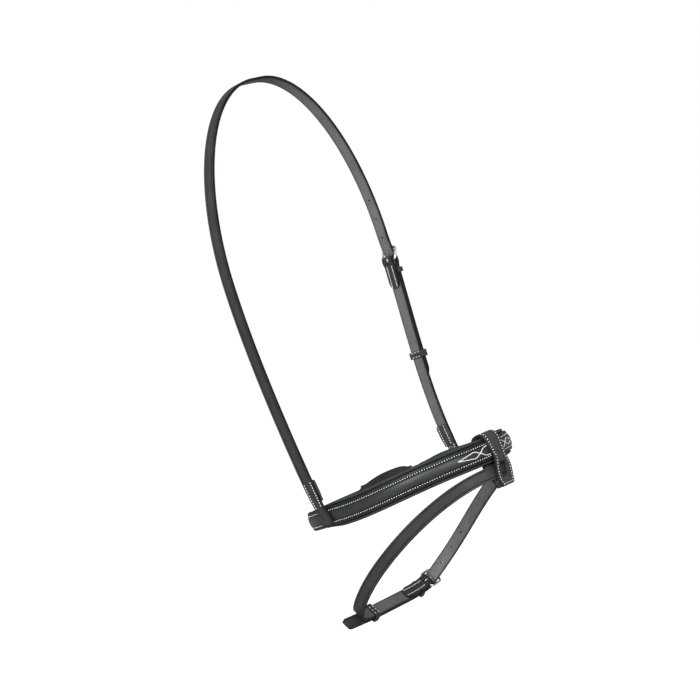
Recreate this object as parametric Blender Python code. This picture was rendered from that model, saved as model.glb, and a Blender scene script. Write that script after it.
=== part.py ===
"""Bridle noseband: a padded, raised noseband on its own sliphead, with a chin pad,
a flash loop and a flash strap.

Metres, +Z up the head, +X to the front of the nose, +Y to the horse's left.
The origin is the seat on the poll, under the middle of the sliphead's crown.

Every strap is modelled lying flat and is then bent along its course: X runs along the
strap, Y across it and Z out of its outer face, away from the horse.
"""

import math

import bmesh
import bpy
import numpy as np
from mathutils import Matrix, Vector

# Leather
LEATHER = 0.0026            # thickness of a strap
SEAM = 0.0003               # gap between two leaves that touch
EDGE = 0.0005               # chamfer along a strap's edges
SLIP = 0.00035              # clearance inside a keeper
STRAP_STEP = 0.009          # spacing of the sections along a long strap
BAND_STEP = 0.0070          # spacing of the sections round the noseband
FLASH_STEP = 0.0045         # spacing of the sections along the flash strap
BEND_STEP = 0.0025          # spacing of the sections where a strap rises or dips
OVERRUN = 0.002             # how far a cutter reaches past what it cuts

# Sliphead
SLIPHEAD_WIDTH = 0.013
DROP = 0.4182               # from the poll seat down to the line through both T joints
POLL_FLAT = 0.014           # straight stretch over the poll
CHEEK_HEIGHT = 0.235        # height of the cheeks above the T line, where the arch starts
CHEEK_BOW = 0.0108          # how far the cheeks sweep back
CHEEK_BOW_POWER = 0.62      # less than 1, so that they sweep back most low down
CHEEK_LEAN = 0.0005         # how far the cheeks lean forward over the sweep's height
BOW_HEIGHT = 0.330          # height above the T line where the sweep ends
CHEEK_SPREAD = 0.0105       # how far each cheek leans out
SPREAD_START = 0.020        # height above the T line where the lean starts
TAB_LENGTH = 0.0070         # tab below the T line
TAB_WIDTH = 0.0145
TAB_ROUND = 0.002           # how far above the tab's end it starts to narrow
NECK_WIDTH = 0.0098
NECK_HEIGHT = 0.011         # narrowest place above the T line
SHOULDER_HEIGHT = 0.030     # height where the cheek has its full width
LEAF_TOP = 0.038            # inner leaf of the T joint, above the T line
LEAF_FOOT = 0.0162
LEAF_FOOT_WIDTH = 0.008

# Noseband
NOSE_REACH = 0.1317         # from the T line to the front of the nose
HALF_WIDTH = 0.0960         # from the middle to each T joint
CHIN_REACH = 0.0773         # from the T line back to the chin
NOSE_NARROWING = 0.10       # how much slimmer than an ellipse the front is
NOSE_TILT = math.radians(3.7)   # how far the front of the nosepiece leans back
NOSE_RISE = 0.0093          # how far the front lies above the T line
RISE_START_SHARE = 0.10     # where the rise starts, of the reach
CHIN_FALL = 0.0040          # how far the chin lies below the T line
BAND_WIDTH = 0.019
FACING_WIDTH = 0.0183
FACING_RISE = 0.0036        # thickness of the raised facing at its middle
FACING_BORDER = 0.0012      # thickness of the facing at its edges
FACING_TAIL = 0.034         # how far the facing runs behind the left T joint
BACKING_TAIL = 0.044        # how far the backing and facing run behind the right T joint
LINING_WIDTH = 0.0248
LINING_THICK = 0.0066
LINING_ROLL = 0.0025        # how far the rolled edges rise past the backing's inner face
LINING_TAIL = 0.015         # how far the lining runs behind the right T joint
LINING_LEFT_TAIL = 0.040    # and behind the left one, up to the buckle pad
LINING_TAPER = 0.028
LINING_END_SHARE = 0.45     # thickness of the lining at its ends, of its full one
# Half of the facing's front, as shares of its half width and of its rise
FACING_ARCH_SHARES = ((0.74, 0.47), (0.60, 0.65), (0.34, 0.88), (0.0, 1.0))
# Half of the lining's section from the backing's edge, as shares: past the edge, up
# the rolled edge and into the thickness
LINING_EDGE_SHARES = (
    (0.0, 0.0, 0.0), (0.0, 0.6, 0.0), (0.35, 1.0, 0.0), (0.75, 0.7, 0.0), (1.0, 0.0, 0.1),
    (0.8, 0.0, 0.45), (-0.5, 0.0, 0.85), (-2.3, 0.0, 1.0),
)

# Chin strap and the pad behind its buckle
CHIN_WIDTH = 0.0165         # width of the chin billet
CHIN_BAR = 0.082            # from the left T joint back along the band to the buckle bar
CHIN_OVERLAP = 0.026        # how far the billet is sewn under the backing
CHIN_TIP = 0.043            # billet past the buckle bar
CHIN_KEEPER = 0.030         # sliding keeper past the buckle bar
CHIN_CHAPE = 0.022          # length of the leaf folded round the bar
PAD_LENGTH = 0.066
PAD_CENTRE = 0.083          # from the left T joint back along the band to its middle
PAD_THICK = 0.0085
PAD_HEIGHT = 0.0305
PAD_LOOP = 0.0195           # loop on the pad, in front of the buckle bar
PAD_LOOP_LENGTH = 0.008
# The pad's section, as shares of its half height and its thickness
PAD_SECTION_SHARES = (
    (0.84, 0.0), (0.97, 0.14), (1.0, 0.40), (0.93, 0.68), (0.74, 0.90), (0.40, 1.0),
    (0.0, 1.0), (-0.40, 1.0), (-0.74, 0.90), (-0.93, 0.68), (-1.0, 0.40), (-0.97, 0.14),
    (-0.84, 0.0),
)
# Along the pad from the T joint's end, as shares of its half length: the shares of its
# height and of its thickness there
PAD_RISE_SHARES = (
    (-1.0, 0.62, 0.60), (-0.94, 0.74, 0.80), (-0.82, 0.88, 0.95), (-0.64, 0.97, 1.0),
    (-0.4, 1.0, 1.0), (-0.12, 1.0, 1.0), (0.12, 0.97, 1.0), (0.34, 0.91, 1.0),
    (0.56, 0.82, 1.0), (0.76, 0.73, 0.95), (0.93, 0.63, 0.80), (1.0, 0.54, 0.60),
)

# Flash strap
FLASH_WIDTH = 0.013
FLASH_REAR = 0.0600         # how far behind the T line the strap reaches
FLASH_HALF_WIDTH = 0.0655
FLASH_FALL = 0.0975         # from the slot down to the rear run
FLASH_FALL_POWER = 1.48     # how late the fall steepens
# Guides round the loop, as shares of its reach and its half width, front to rear
FLASH_GUIDE_SHARES = (
    (1.0, 0.10), (1.0, 0.24), (0.92, 0.46), (0.74, 0.70), (0.54, 0.90), (0.31, 1.05),
    (0.14, 1.01), (0.015, 0.86), (0.0, 0.50), (0.0, 0.34), (0.0, 0.11),
)
FLASH_BAR = 0.2415          # from the slot along the left side to the buckle bar
FLASH_TIP = 0.1235          # billet past the buckle bar
FLASH_KEEPER = 0.0825       # sliding keeper past the buckle bar
FLASH_LEAVE = 0.0865        # where the billet's end leaves the curve and runs straight
FLASH_CHAPE = 0.0345        # its folded end, longer than on the other buckles
FLASH_HOLE_SPACING = 0.022

# Flash loop
LOOP_WIDTH = 0.020
LOOP_LEAF = 0.0024          # thickness of its leather
LOOP_ROOM = 0.0004          # gap between the loop and the band inside it
LOOP_STEPS = 3              # sections between two guides
LOOP_BEND_RADIUS = 0.055    # to which it curves over the nosepiece
# Guides down the front and the back, as shares of the loop's height and of its depth
LOOP_FRONT_SHARES = ((1.55, 0.72), (0.65, 1.04), (0.0, 1.0), (-0.62, 1.04), (-1.09, 0.62))
LOOP_BACK_SHARES = ((-1.13, 0.38), (-0.92, 1.05), (-0.3, 1.0), (0.3, 1.0), (0.95, 1.06),
                    (1.60, 0.60))
WAIST_WIDTH = 0.0165
WAIST_DROP = 0.0085         # from the middle of the noseband down to the waist
PADDLE_WIDTH = 0.0225
PADDLE_TIP_WIDTH = 0.0175
PADDLE_DROP = 0.0370        # from the middle of the noseband down to the paddle's tip
SLOT_DROP = 0.0212          # from the middle of the noseband down to the flash strap
SLOT_SLIP = 0.0005          # room around the strap in the slot
SWING_RISE = 0.0010         # from the strap's lower edge up to the line it swings on
WINDOW_WIDTH = 0.0100
WINDOW_HEIGHT = 0.0139

# Buckles
WIRE = 0.0013               # radius of the frame's wire
TONGUE = 0.0010             # radius of the tongue's wire
BUCKLE_REACH = 0.0130       # from the bar to the front of the frame
BUCKLE_SIDE = 0.0008        # room beside the strap inside the frame
BUCKLE_CORNER = 0.0030      # radius of the frame's corners
BAR_SLACK = 0.00035         # room between the bar and what turns on it
TONGUE_PAST = 0.0012        # tongue past the middle of the front wire
CHAPE = 0.029               # length of the leaf folded round the bar
RAMP = 0.0085               # behind the bar, where the leaves have closed
LEAD_IN = 0.024             # in front of the bar, where the billet lies flat again
FIXED_KEEPER = 0.0118       # fixed keeper behind the bar
KEEPER_LENGTH = 0.0052
SLIDING_LENGTH = 0.0070
KEEPER_WALL = 0.0015
KEEPER_ROUND_SHARE = 0.6    # rounding of a keeper's outer edges, of its wall
SLOT_BACK = 0.0042          # how far behind the bar the tongue's slot starts
TIP_SHARE = 0.35            # width of a billet's very tip, of the strap's width
TIP_LENGTH_SHARE = 0.8      # length of the rounded tip, of the strap's width
TIP_STATION_SHARES = (0.0, 0.15, 0.4, 0.7, 1.0)
HOLE = 0.0017               # radius of a billet hole
HOLE_STRETCH = 1.3          # how much longer than wide a hole is
TONGUE_HOLE_STRETCH = 2.3   # the same for the hole that the tongue is through
HOLE_SPACING = 0.020
CROWN_BAR = 0.212           # crown buckle bar above the T line
CROWN_TIP = 0.124           # billet past the buckle bar
CROWN_KEEPER = 0.100        # sliding keeper past the buckle bar
CROWN_HOLES = (-2, -1, 0, 1, 2, 3)
CHIN_HOLES = (-1, 0, 1)
FLASH_HOLES = (-2, -1, 0, 1, 2, 3)

NAME = "bridle_noseband"

# Colour, roughness and metallic of each kind of material
LEATHER_BLACK = ((0.035, 0.036, 0.038, 1.0), 0.42, 0.0)
PADDING_GREEN = ((0.030, 0.042, 0.034, 1.0), 0.60, 0.0)
SUEDE_BLACK = ((0.028, 0.027, 0.030, 1.0), 0.85, 0.0)
STEEL = ((0.72, 0.72, 0.70, 1.0), 0.22, 1.0)


# Courses

class Course:
    """A smooth line through dense points, measured by its length. Each place has a
    direction, an axis across the strap and an axis out of its face."""

    def __init__(self, points, across, closed=False):
        self.points = np.array(points, dtype=float)
        self.closed = closed
        if closed:
            before = np.roll(self.points, 1, axis=0)
            after = np.roll(self.points, -1, axis=0)
        else:
            before = np.vstack([self.points[:1], self.points[:-1]])
            after = np.vstack([self.points[1:], self.points[-1:]])
        along = unit(after - before)
        across = np.broadcast_to(np.array(across, dtype=float), along.shape)
        self.out = unit(np.cross(along, across))
        self.across = np.cross(self.out, along)
        if closed:
            self.points = close(self.points)
            self.out = close(self.out)
            self.across = close(self.across)
        runs = np.linalg.norm(np.diff(self.points, axis=0), axis=1)
        self.lengths = np.concatenate([[0.0], np.cumsum(runs)])
        self.length = float(self.lengths[-1])

    def read(self, table, place):
        return np.array([np.interp(place, self.lengths, table[:, axis]) for axis in range(3)])

    def frame(self, place, leave=None):
        """Position and the axes along, across and out at this length. Past the length
        named leave, the strap runs straight on."""
        past = 0.0
        if leave is not None and place > leave:
            past = place - leave
            place = leave
        if self.closed:
            place = place % self.length
        across = unit(self.read(self.across, place))
        out = unit(self.read(self.out, place))
        along = np.cross(across, out)
        return self.read(self.points, place) + past * along, along, across, out


class Site:
    """A place on a course from which a strap is laid out flat. Facing is 1 where the
    strap's X axis runs with the course, and -1 where it runs against it. Sag gives how
    far the strap curves back at a place (along, across)."""

    def __init__(self, course, start, facing=1, leave=None, sag=None):
        self.course = course
        self.start = start
        self.facing = facing
        self.leave = leave
        self.sag = sag

    def spot(self, along, side, out):
        place = self.start + self.facing * along
        point, _, across, outward = self.course.frame(place, self.leave)
        if self.sag:
            out -= self.sag(along, side)
        return Vector(point + self.facing * side * across + out * outward)

    def matrix(self, along=0.0):
        point, forward, across, outward = self.course.frame(
            self.start + self.facing * along, self.leave)
        axes = Matrix((self.facing * forward, self.facing * across, outward)).transposed()
        return Matrix.Translation(Vector(point)) @ axes.to_4x4()


def unit(rows):
    rows = np.array(rows, dtype=float)
    return rows / np.linalg.norm(rows, axis=-1, keepdims=True)


def close(rows):
    return np.vstack([rows, rows[:1]])


def eased(share):
    share = min(max(share, 0.0), 1.0)
    return share * share * (3.0 - 2.0 * share)


def smooth_line(guides, closed, steps=24):
    """A smooth line that rounds the corners between the guide points."""
    guides = np.array(guides, dtype=float)
    if closed:
        guides = np.vstack([guides[-1:], guides, guides[:2]])
    else:
        guides = np.vstack([2 * guides[:1] - guides[1:2], guides,
                            2 * guides[-1:] - guides[-2:-1]])
    points = []
    for first, second, third, fourth in zip(guides, guides[1:], guides[2:], guides[3:]):
        for step in range(steps):
            t = step / steps
            points.append(((1 - t) ** 3 * first + (3 * t ** 3 - 6 * t ** 2 + 4) * second
                           + (1 + 3 * t + 3 * t ** 2 - 3 * t ** 3) * third
                           + t ** 3 * fourth) / 6)
    if not closed:
        points.append(guides[-2])
    return points


def cheek_place(height, side):
    """A point on the cheek's line, this high above the T line."""
    lean = CHEEK_SPREAD * eased((height - SPREAD_START) / (CHEEK_HEIGHT - SPREAD_START))
    return T_LINE + Vector((sweep(height), side * (cheek_out() + lean), height))


def sweep(height):
    """How far in front of the T line the sliphead runs at this height above it."""
    share = max(height, 0.0) / BOW_HEIGHT
    return CHEEK_LEAN * share - CHEEK_BOW * math.sin(math.pi * share ** CHEEK_BOW_POWER)


def cheek_out():
    """From the middle of the head out to the cheeks' line at the T joints."""
    return HALF_WIDTH + facing_face() + SEAM + LEATHER / 2


def facing_face():
    """From the band's line out to the crown of the raised facing."""
    return LEATHER / 2 + SEAM + FACING_RISE


def sliphead_course():
    """Up the right cheek, over the poll and down the left cheek."""
    side = []
    for height in np.linspace(-TAB_LENGTH, CHEEK_HEIGHT, 100):
        side.append(cheek_place(height, -1))
    half_span = cheek_out() + CHEEK_SPREAD - POLL_FLAT / 2
    rise = DROP - CHEEK_HEIGHT
    for angle in np.linspace(0.0, math.pi / 2, 80)[1:]:
        height = CHEEK_HEIGHT + rise * math.sin(angle)
        point = cheek_place(height, -1)
        point.y = -POLL_FLAT / 2 - half_span * math.cos(angle)
        side.append(point)
    other = [Vector((point.x, -point.y, point.z)) for point in reversed(side)]
    return Course(side + other, (-1.0, 0.0, 0.0))


def height_on_cheek(course, height):
    """Length along the course to this height above the T line, on the right cheek."""
    half = len(course.points) // 2
    return float(np.interp(T_LINE.z + height, course.points[:half, 2], course.lengths[:half]))


def band_rise(reach):
    """How far above the T line the band runs at this share of its reach, which is less
    than zero behind the T joints."""
    if reach < 0:
        return CHIN_FALL * reach
    return NOSE_RISE * eased((reach - RISE_START_SHARE) / (1.0 - RISE_START_SHARE))


def band_course():
    """Round the noseband, from the chin past the right T joint, the nose and the left
    T joint back to the chin."""
    points = []
    for turn in np.linspace(0.0, math.tau, 720, endpoint=False):
        reach = -math.cos(turn)
        width = -math.sin(turn)
        if reach < 0:
            forward = CHIN_REACH * reach
        else:
            forward = NOSE_REACH * reach
            width *= 1.0 - NOSE_NARROWING * reach * reach
        points.append(T_LINE + Vector((forward, HALF_WIDTH * width, band_rise(reach))))
    return Course(points, (-math.sin(NOSE_TILT), 0.0, math.cos(NOSE_TILT)), closed=True)


def turn_length(course, quarter):
    """Length along the band to the chin (0), the right T joint (1), the nose (2), the
    left T joint (3) or the chin again (4)."""
    return float(course.lengths[quarter * (len(course.lengths) - 1) // 4])


def nose_frame():
    """Middle of the band's front, its axis out of the nose and its axis up."""
    out = Vector((math.cos(NOSE_TILT), 0.0, math.sin(NOSE_TILT)))
    up = Vector((-math.sin(NOSE_TILT), 0.0, math.cos(NOSE_TILT)))
    return T_LINE + Vector((NOSE_REACH, 0.0, NOSE_RISE)), out, up


def flash_course():
    """Round the flash strap, from the slot at the nose along the left side to the rear
    run and back along the right side."""
    middle, _, up = nose_frame()
    slot = middle - SLOT_DROP * up
    reach = slot.x - T_LINE.x + FLASH_REAR
    left = [(reach * (share - 1.0), FLASH_HALF_WIDTH * side)
            for share, side in FLASH_GUIDE_SHARES]
    right = [(back, -side) for back, side in reversed(left)]
    loop = smooth_line(left + right, closed=True)
    start = int(np.argmin([abs(side) - back for back, side in loop]))
    points = []
    across = []
    for back, side in loop[start:] + loop[:start]:
        share = min(max(-back / reach, 0.0), 1.0)
        fall = FLASH_FALL * share ** FLASH_FALL_POWER
        slope = FLASH_FALL / reach * FLASH_FALL_POWER * share ** (FLASH_FALL_POWER - 1.0)
        points.append(slot + Vector((back, side, -fall)))
        across.append((-slope, 0.0, 1.0))
    return Course(points, unit(across), closed=True)


# Solids

def flat_section(width, spread=None, thick=LEATHER, columns=1):
    """The section of a flat strap with chamfered edges, as a function that gives its
    (across, out) points at each place along. Spread gives the share of the width there,
    and columns the number of strips across a face."""
    face = thick / 2

    def section(along):
        side = width / 2 * (spread(along) if spread else 1.0)
        steps = np.linspace(side - EDGE, EDGE - side, columns + 1)
        return ([(side, EDGE - face), (side, face - EDGE)]
                + [(across, face) for across in steps]
                + [(-side, face - EDGE), (-side, EDGE - face)]
                + [(-across, -face) for across in steps])
    return section


def loft(name, rings, closed=False):
    """A skin over rings of points, with flat ends unless the rings close."""
    shape = bmesh.new()
    rows = [[shape.verts.new(point) for point in ring] for ring in rings]
    for row, other in zip(rows, rows[1:] + rows[:1] if closed else rows[1:]):
        for index in range(len(row)):
            shape.faces.new((row[index - 1], row[index], other[index], other[index - 1]))
    if not closed:
        shape.faces.new(rows[0])
        shape.faces.new(rows[-1])
    bmesh.ops.recalc_face_normals(shape, faces=shape.faces)
    return mesh_from(shape, name)


def mesh_from(shape, name):
    mesh = bpy.data.meshes.new(name)
    shape.to_mesh(mesh)
    shape.free()
    return mesh


def add_piece(name, mesh, look, matrix=None, holder=None):
    """Links a mesh as a named piece with its own material."""
    colour, roughness, metallic = look
    material = bpy.data.materials.new(name)
    material.use_nodes = True
    shader = material.node_tree.nodes["Principled BSDF"]
    shader.inputs["Base Color"].default_value = colour
    shader.inputs["Roughness"].default_value = roughness
    shader.inputs["Metallic"].default_value = metallic
    mesh.materials.clear()
    mesh.materials.append(material)
    piece = bpy.data.objects.new(name, mesh)
    parts.objects.link(piece)
    if matrix is not None:
        piece.matrix_world = matrix
    if holder is not None:
        piece.parent = holder
        piece.matrix_parent_inverse = holder.matrix_world.inverted()
    return piece


def strap(name, site, route, section, look, holder=None):
    """A strap whose section follows a route of (along, out) points laid out at a site."""
    route = np.array(route, dtype=float)
    ahead = unit(np.vstack([route[1:2] - route[:1], route[2:] - route[:-2],
                            route[-1:] - route[-2:-1]]))
    rings = []
    for (along, out), (forward, rise) in zip(route, ahead):
        rings.append([site.spot(along - lift * rise, across, out + lift * forward)
                      for across, lift in section(along)])
    return add_piece(name, loft(name, rings), look, holder=holder)


def pivot(name, matrix, parent=None):
    """An empty on a joint's axis, which carries the pieces that move with it."""
    empty = bpy.data.objects.new(name, None)
    empty.empty_display_size = BUCKLE_REACH
    parts.objects.link(empty)
    empty.matrix_world = matrix
    if parent is not None:
        empty.parent = parent
        empty.matrix_parent_inverse = parent.matrix_world.inverted()
    return empty


def cut(piece, cutter):
    """Takes the cutter out of the piece."""
    cutter.hide_render = True
    cutter.display_type = "WIRE"
    opening = piece.modifiers.new(cutter.name, "BOOLEAN")
    opening.operation = "DIFFERENCE"
    opening.solver = "EXACT"
    opening.object = cutter


def box_cutter(name, matrix, size, centre):
    shape = bmesh.new()
    bmesh.ops.create_cube(shape, size=1.0)
    bmesh.ops.scale(shape, vec=size, verts=shape.verts)
    bmesh.ops.translate(shape, vec=centre, verts=shape.verts)
    cutter = bpy.data.objects.new(name, mesh_from(shape, name))
    cutters.objects.link(cutter)
    cutter.matrix_world = matrix
    return cutter


def hole_cutter(name, matrix, depth, stretch):
    """An oval punch, longer along the strap than across it."""
    shape = bmesh.new()
    bmesh.ops.create_cone(shape, cap_ends=True, segments=10, radius1=HOLE, radius2=HOLE,
                          depth=depth)
    bmesh.ops.scale(shape, vec=(stretch, 1.0, 1.0), verts=shape.verts)
    cutter = bpy.data.objects.new(name, mesh_from(shape, name))
    cutters.objects.link(cutter)
    cutter.matrix_world = matrix
    return cutter


def wire(name, points, radius, matrix, holder, closed=False):
    """A round steel wire through the points."""
    curve = bpy.data.curves.new(name, "CURVE")
    curve.dimensions = "3D"
    curve.bevel_depth = radius
    curve.bevel_resolution = 2
    curve.use_fill_caps = True
    line = curve.splines.new("POLY")
    line.points.add(len(points) - 1)
    for point, place in zip(line.points, points):
        point.co = (*place, 1.0)
    line.use_cyclic_u = closed
    return add_piece(name, curve, STEEL, matrix=matrix, holder=holder)


def ring_box(name, site, along, length, width, low, high, look, wall=KEEPER_WALL,
             floor=None, holder=None):
    """A keeper: a leather band round a stack of straps that is so wide and lies
    between low and high. Floor is the wall on the horse's side."""
    floor = wall if floor is None else floor
    side = width / 2 + SLIP
    bottom = low - SLIP
    top = high + SLIP
    shape = bmesh.new()
    bmesh.ops.create_cube(shape, size=1.0)
    outer = (length, 2 * (side + wall), top - bottom + wall + floor)
    bmesh.ops.scale(shape, vec=outer, verts=shape.verts)
    bmesh.ops.translate(shape, vec=(0.0, 0.0, (top + wall + bottom - floor) / 2),
                        verts=shape.verts)
    along_edges = [edge for edge in shape.edges
                   if abs(edge.verts[0].co.x - edge.verts[1].co.x) > length / 2]
    bmesh.ops.bevel(shape, geom=along_edges, offset=wall * KEEPER_ROUND_SHARE, segments=2,
                    affect="EDGES")
    matrix = site.matrix(along)
    piece = add_piece(name, mesh_from(shape, name), look, matrix=matrix, holder=holder)
    window = box_cutter(name + "_window", matrix,
                        (length + 2 * OVERRUN, 2 * side, top - bottom),
                        (0.0, 0.0, (top + bottom) / 2))
    cut(piece, window)
    return piece


# Straps near a buckle

def ramp(start, end, count):
    """Points that ease from one (along, out) place to another, without the first."""
    points = []
    for step in range(1, count + 1):
        share = step / count
        points.append((start[0] + (end[0] - start[0]) * share,
                       start[1] + (end[1] - start[1]) * eased(share)))
    return points


def run(start, end, out, step=STRAP_STEP):
    """Points from one place along the strap to another, ends included. Those between
    are whole steps from the bar, so that leaves that lie together bend together."""
    first = math.floor(min(start, end) / step) + 1
    last = math.ceil(max(start, end) / step) - 1
    inner = [index * step for index in range(first, last + 1)]
    inner = [place for place in inner
             if abs(place - start) > EDGE and abs(place - end) > EDGE]
    if end < start:
        inner.reverse()
    return [(place, out) for place in [start] + inner + [end]]


class Buckle:
    """Levels round a buckle bar, out from the line of the strap that carries it."""

    fold = WIRE + BAR_SLACK + LEATHER / 2
    layer = LEATHER + SEAM
    bar = -layer / 2
    over = bar + fold + layer
    dip = LEATHER * 0.3
    front = dip + LEATHER / 2 + SEAM + WIRE
    tilt = math.asin((front - bar) / BUCKLE_REACH)
    tongue = WIRE + BAR_SLACK + TONGUE

    @classmethod
    def hole_place(cls):
        """Where the tongue's line meets the billet's line, along the strap."""
        fall = (cls.over - cls.dip) / (BUCKLE_REACH * math.cos(cls.tilt))
        start = cls.bar + cls.tongue / math.cos(cls.tilt)
        return (cls.over - start) / (fall + math.tan(cls.tilt))


def chape_route(far_end, step=STRAP_STEP, chape=CHAPE):
    """From the far end of the strap to the bar, round it, and back along the inside."""
    level = Buckle.bar
    route = run(far_end, -RAMP, 0.0, step)
    route += ramp((-RAMP, 0.0), (0.0, level + Buckle.fold), 4)
    for turn in range(1, 8):
        angle = math.pi / 2 - math.pi * turn / 8
        route.append((Buckle.fold * math.cos(angle), level + Buckle.fold * math.sin(angle)))
    route.append((0.0, level - Buckle.fold))
    route += ramp((0.0, level - Buckle.fold), (-RAMP, -Buckle.layer), 4)
    route += run(-RAMP, -chape, -Buckle.layer, step)[1:]
    return route


def billet_route(tip, far_end, step=STRAP_STEP):
    """From the billet's tip over the bar, under the front of the frame and on."""
    front = BUCKLE_REACH * math.cos(Buckle.tilt)
    route = run(-tip, -RAMP, Buckle.layer, step)
    route += ramp((-RAMP, Buckle.layer), (-BEND_STEP, Buckle.over), 3)
    steps = math.ceil((front + BEND_STEP) / BEND_STEP)
    route += [(-BEND_STEP + (front + BEND_STEP) * step / steps,
               Buckle.over + (Buckle.dip - Buckle.over) * max(step - 1, 0) / (steps - 1))
              for step in range(1, steps + 1)]
    route += ramp(route[-1], (LEAD_IN, 0.0), 4)
    route += run(LEAD_IN, far_end, 0.0, step)[1:]
    return route


def tip_spread(tip, width):
    """Rounds a billet's tip: the share of the width at each place."""
    def spread(along):
        inset = min(max((along + tip) / (width * TIP_LENGTH_SHARE), 0.0), 1.0)
        return TIP_SHARE + (1.0 - TIP_SHARE) * math.sin(inset * math.pi / 2)
    return spread


def route_with_tip(route, tip, width):
    """Adds the sections that a rounded tip needs."""
    marks = [-tip + width * TIP_LENGTH_SHARE * share for share in TIP_STATION_SHARES]
    rest = [point for point in route if point[0] > marks[-1]]
    return [(mark, route[0][1]) for mark in marks] + rest


def punch_holes(piece, site, steps, spacing=HOLE_SPACING):
    """Billet holes, of which step 0 holds the tongue."""
    for step in steps:
        along = Buckle.hole_place() + step * spacing
        middle = (Buckle.over + Buckle.dip) / 2 if step == 0 else 0.0
        if step < 0:
            middle = Buckle.layer
        matrix = site.matrix(along) @ Matrix.Translation((0.0, 0.0, middle))
        depth = 3 * LEATHER if step == 0 else LEATHER + 1.5 * SEAM
        stretch = TONGUE_HOLE_STRETCH if step == 0 else HOLE_STRETCH
        cut(piece, hole_cutter(f"{piece.name}_hole_{step + 9}", matrix, depth, stretch))


def buckle(prefix, site, width, chape, holder):
    """The frame and the tongue of a buckle, each on its own pivot on the bar, and the
    slot in the chape that the tongue turns in."""
    bar = site.matrix() @ Matrix.Translation((0.0, 0.0, Buckle.bar))
    bar = bar @ Matrix.Rotation(-Buckle.tilt, 4, "Y")
    frame_pivot = pivot(prefix + "_frame_pivot", bar, holder)
    half = width / 2 + BUCKLE_SIDE + WIRE
    corners = ((0.0, -half, 2), (BUCKLE_REACH, -half, 3), (BUCKLE_REACH, half, 0),
               (0.0, half, 1))
    rim = []
    for reach, side, quarter in corners:
        centre_reach = min(max(reach, BUCKLE_CORNER), BUCKLE_REACH - BUCKLE_CORNER)
        centre_side = min(max(side, BUCKLE_CORNER - half), half - BUCKLE_CORNER)
        for step in range(5):
            angle = (quarter + step / 4) * math.pi / 2
            rim.append((centre_reach + BUCKLE_CORNER * math.cos(angle),
                        centre_side + BUCKLE_CORNER * math.sin(angle), 0.0))
    wire(prefix + "_frame", rim, WIRE, bar, frame_pivot, closed=True)

    tongue_pivot = pivot(prefix + "_tongue_pivot", bar, frame_pivot)
    tongue = []
    for step in range(11):
        angle = -math.pi / 3 - (3 * math.pi / 2 - math.pi / 3) * step / 10
        tongue.append((Buckle.tongue * math.cos(angle), 0.0,
                       Buckle.tongue * math.sin(angle)))
    tongue.append((BUCKLE_REACH / 2, 0.0, Buckle.tongue))
    tongue.append((BUCKLE_REACH + TONGUE_PAST, 0.0, Buckle.tongue))
    wire(prefix + "_tongue", tongue, TONGUE, bar, tongue_pivot)

    slot_height = 2 * (Buckle.fold + LEATHER)
    slot = box_cutter(prefix + "_slot", site.matrix(),
                      (SLOT_BACK + slot_height / 2, 2 * (TONGUE + BAR_SLACK), slot_height),
                      ((slot_height / 2 - SLOT_BACK) / 2, 0.0, Buckle.bar))
    cut(chape, slot)


def keepers(prefix, site, width, slide_place, look, fixed_holder, slide_holder):
    """The fixed keeper near the buckle and the sliding keeper further along."""
    half = LEATHER / 2
    ring_box(prefix + "_fixed_keeper", site, -FIXED_KEEPER, KEEPER_LENGTH, width,
             -Buckle.layer - half, Buckle.layer + half, look, holder=fixed_holder)
    slide_pivot = pivot(prefix + "_keeper_pivot", site.matrix(-slide_place), slide_holder)
    ring_box(prefix + "_sliding_keeper", site, -slide_place, SLIDING_LENGTH, width,
             -half, Buckle.layer + half, look, holder=slide_pivot)


# Sliphead

def cheek_spread(side_length):
    """Shares for the cheek's width: a flared tab, a narrow neck and the full strap."""
    marks = np.cumsum([0.0, TAB_LENGTH - TAB_ROUND, NECK_HEIGHT + TAB_ROUND,
                       SHOULDER_HEIGHT - NECK_HEIGHT])
    widths = np.array([TAB_WIDTH, TAB_WIDTH, NECK_WIDTH, SLIPHEAD_WIDTH]) / SLIPHEAD_WIDTH

    def spread(along):
        inset = side_length - abs(along)
        return float(np.interp(inset, marks, widths))
    return spread


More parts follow.
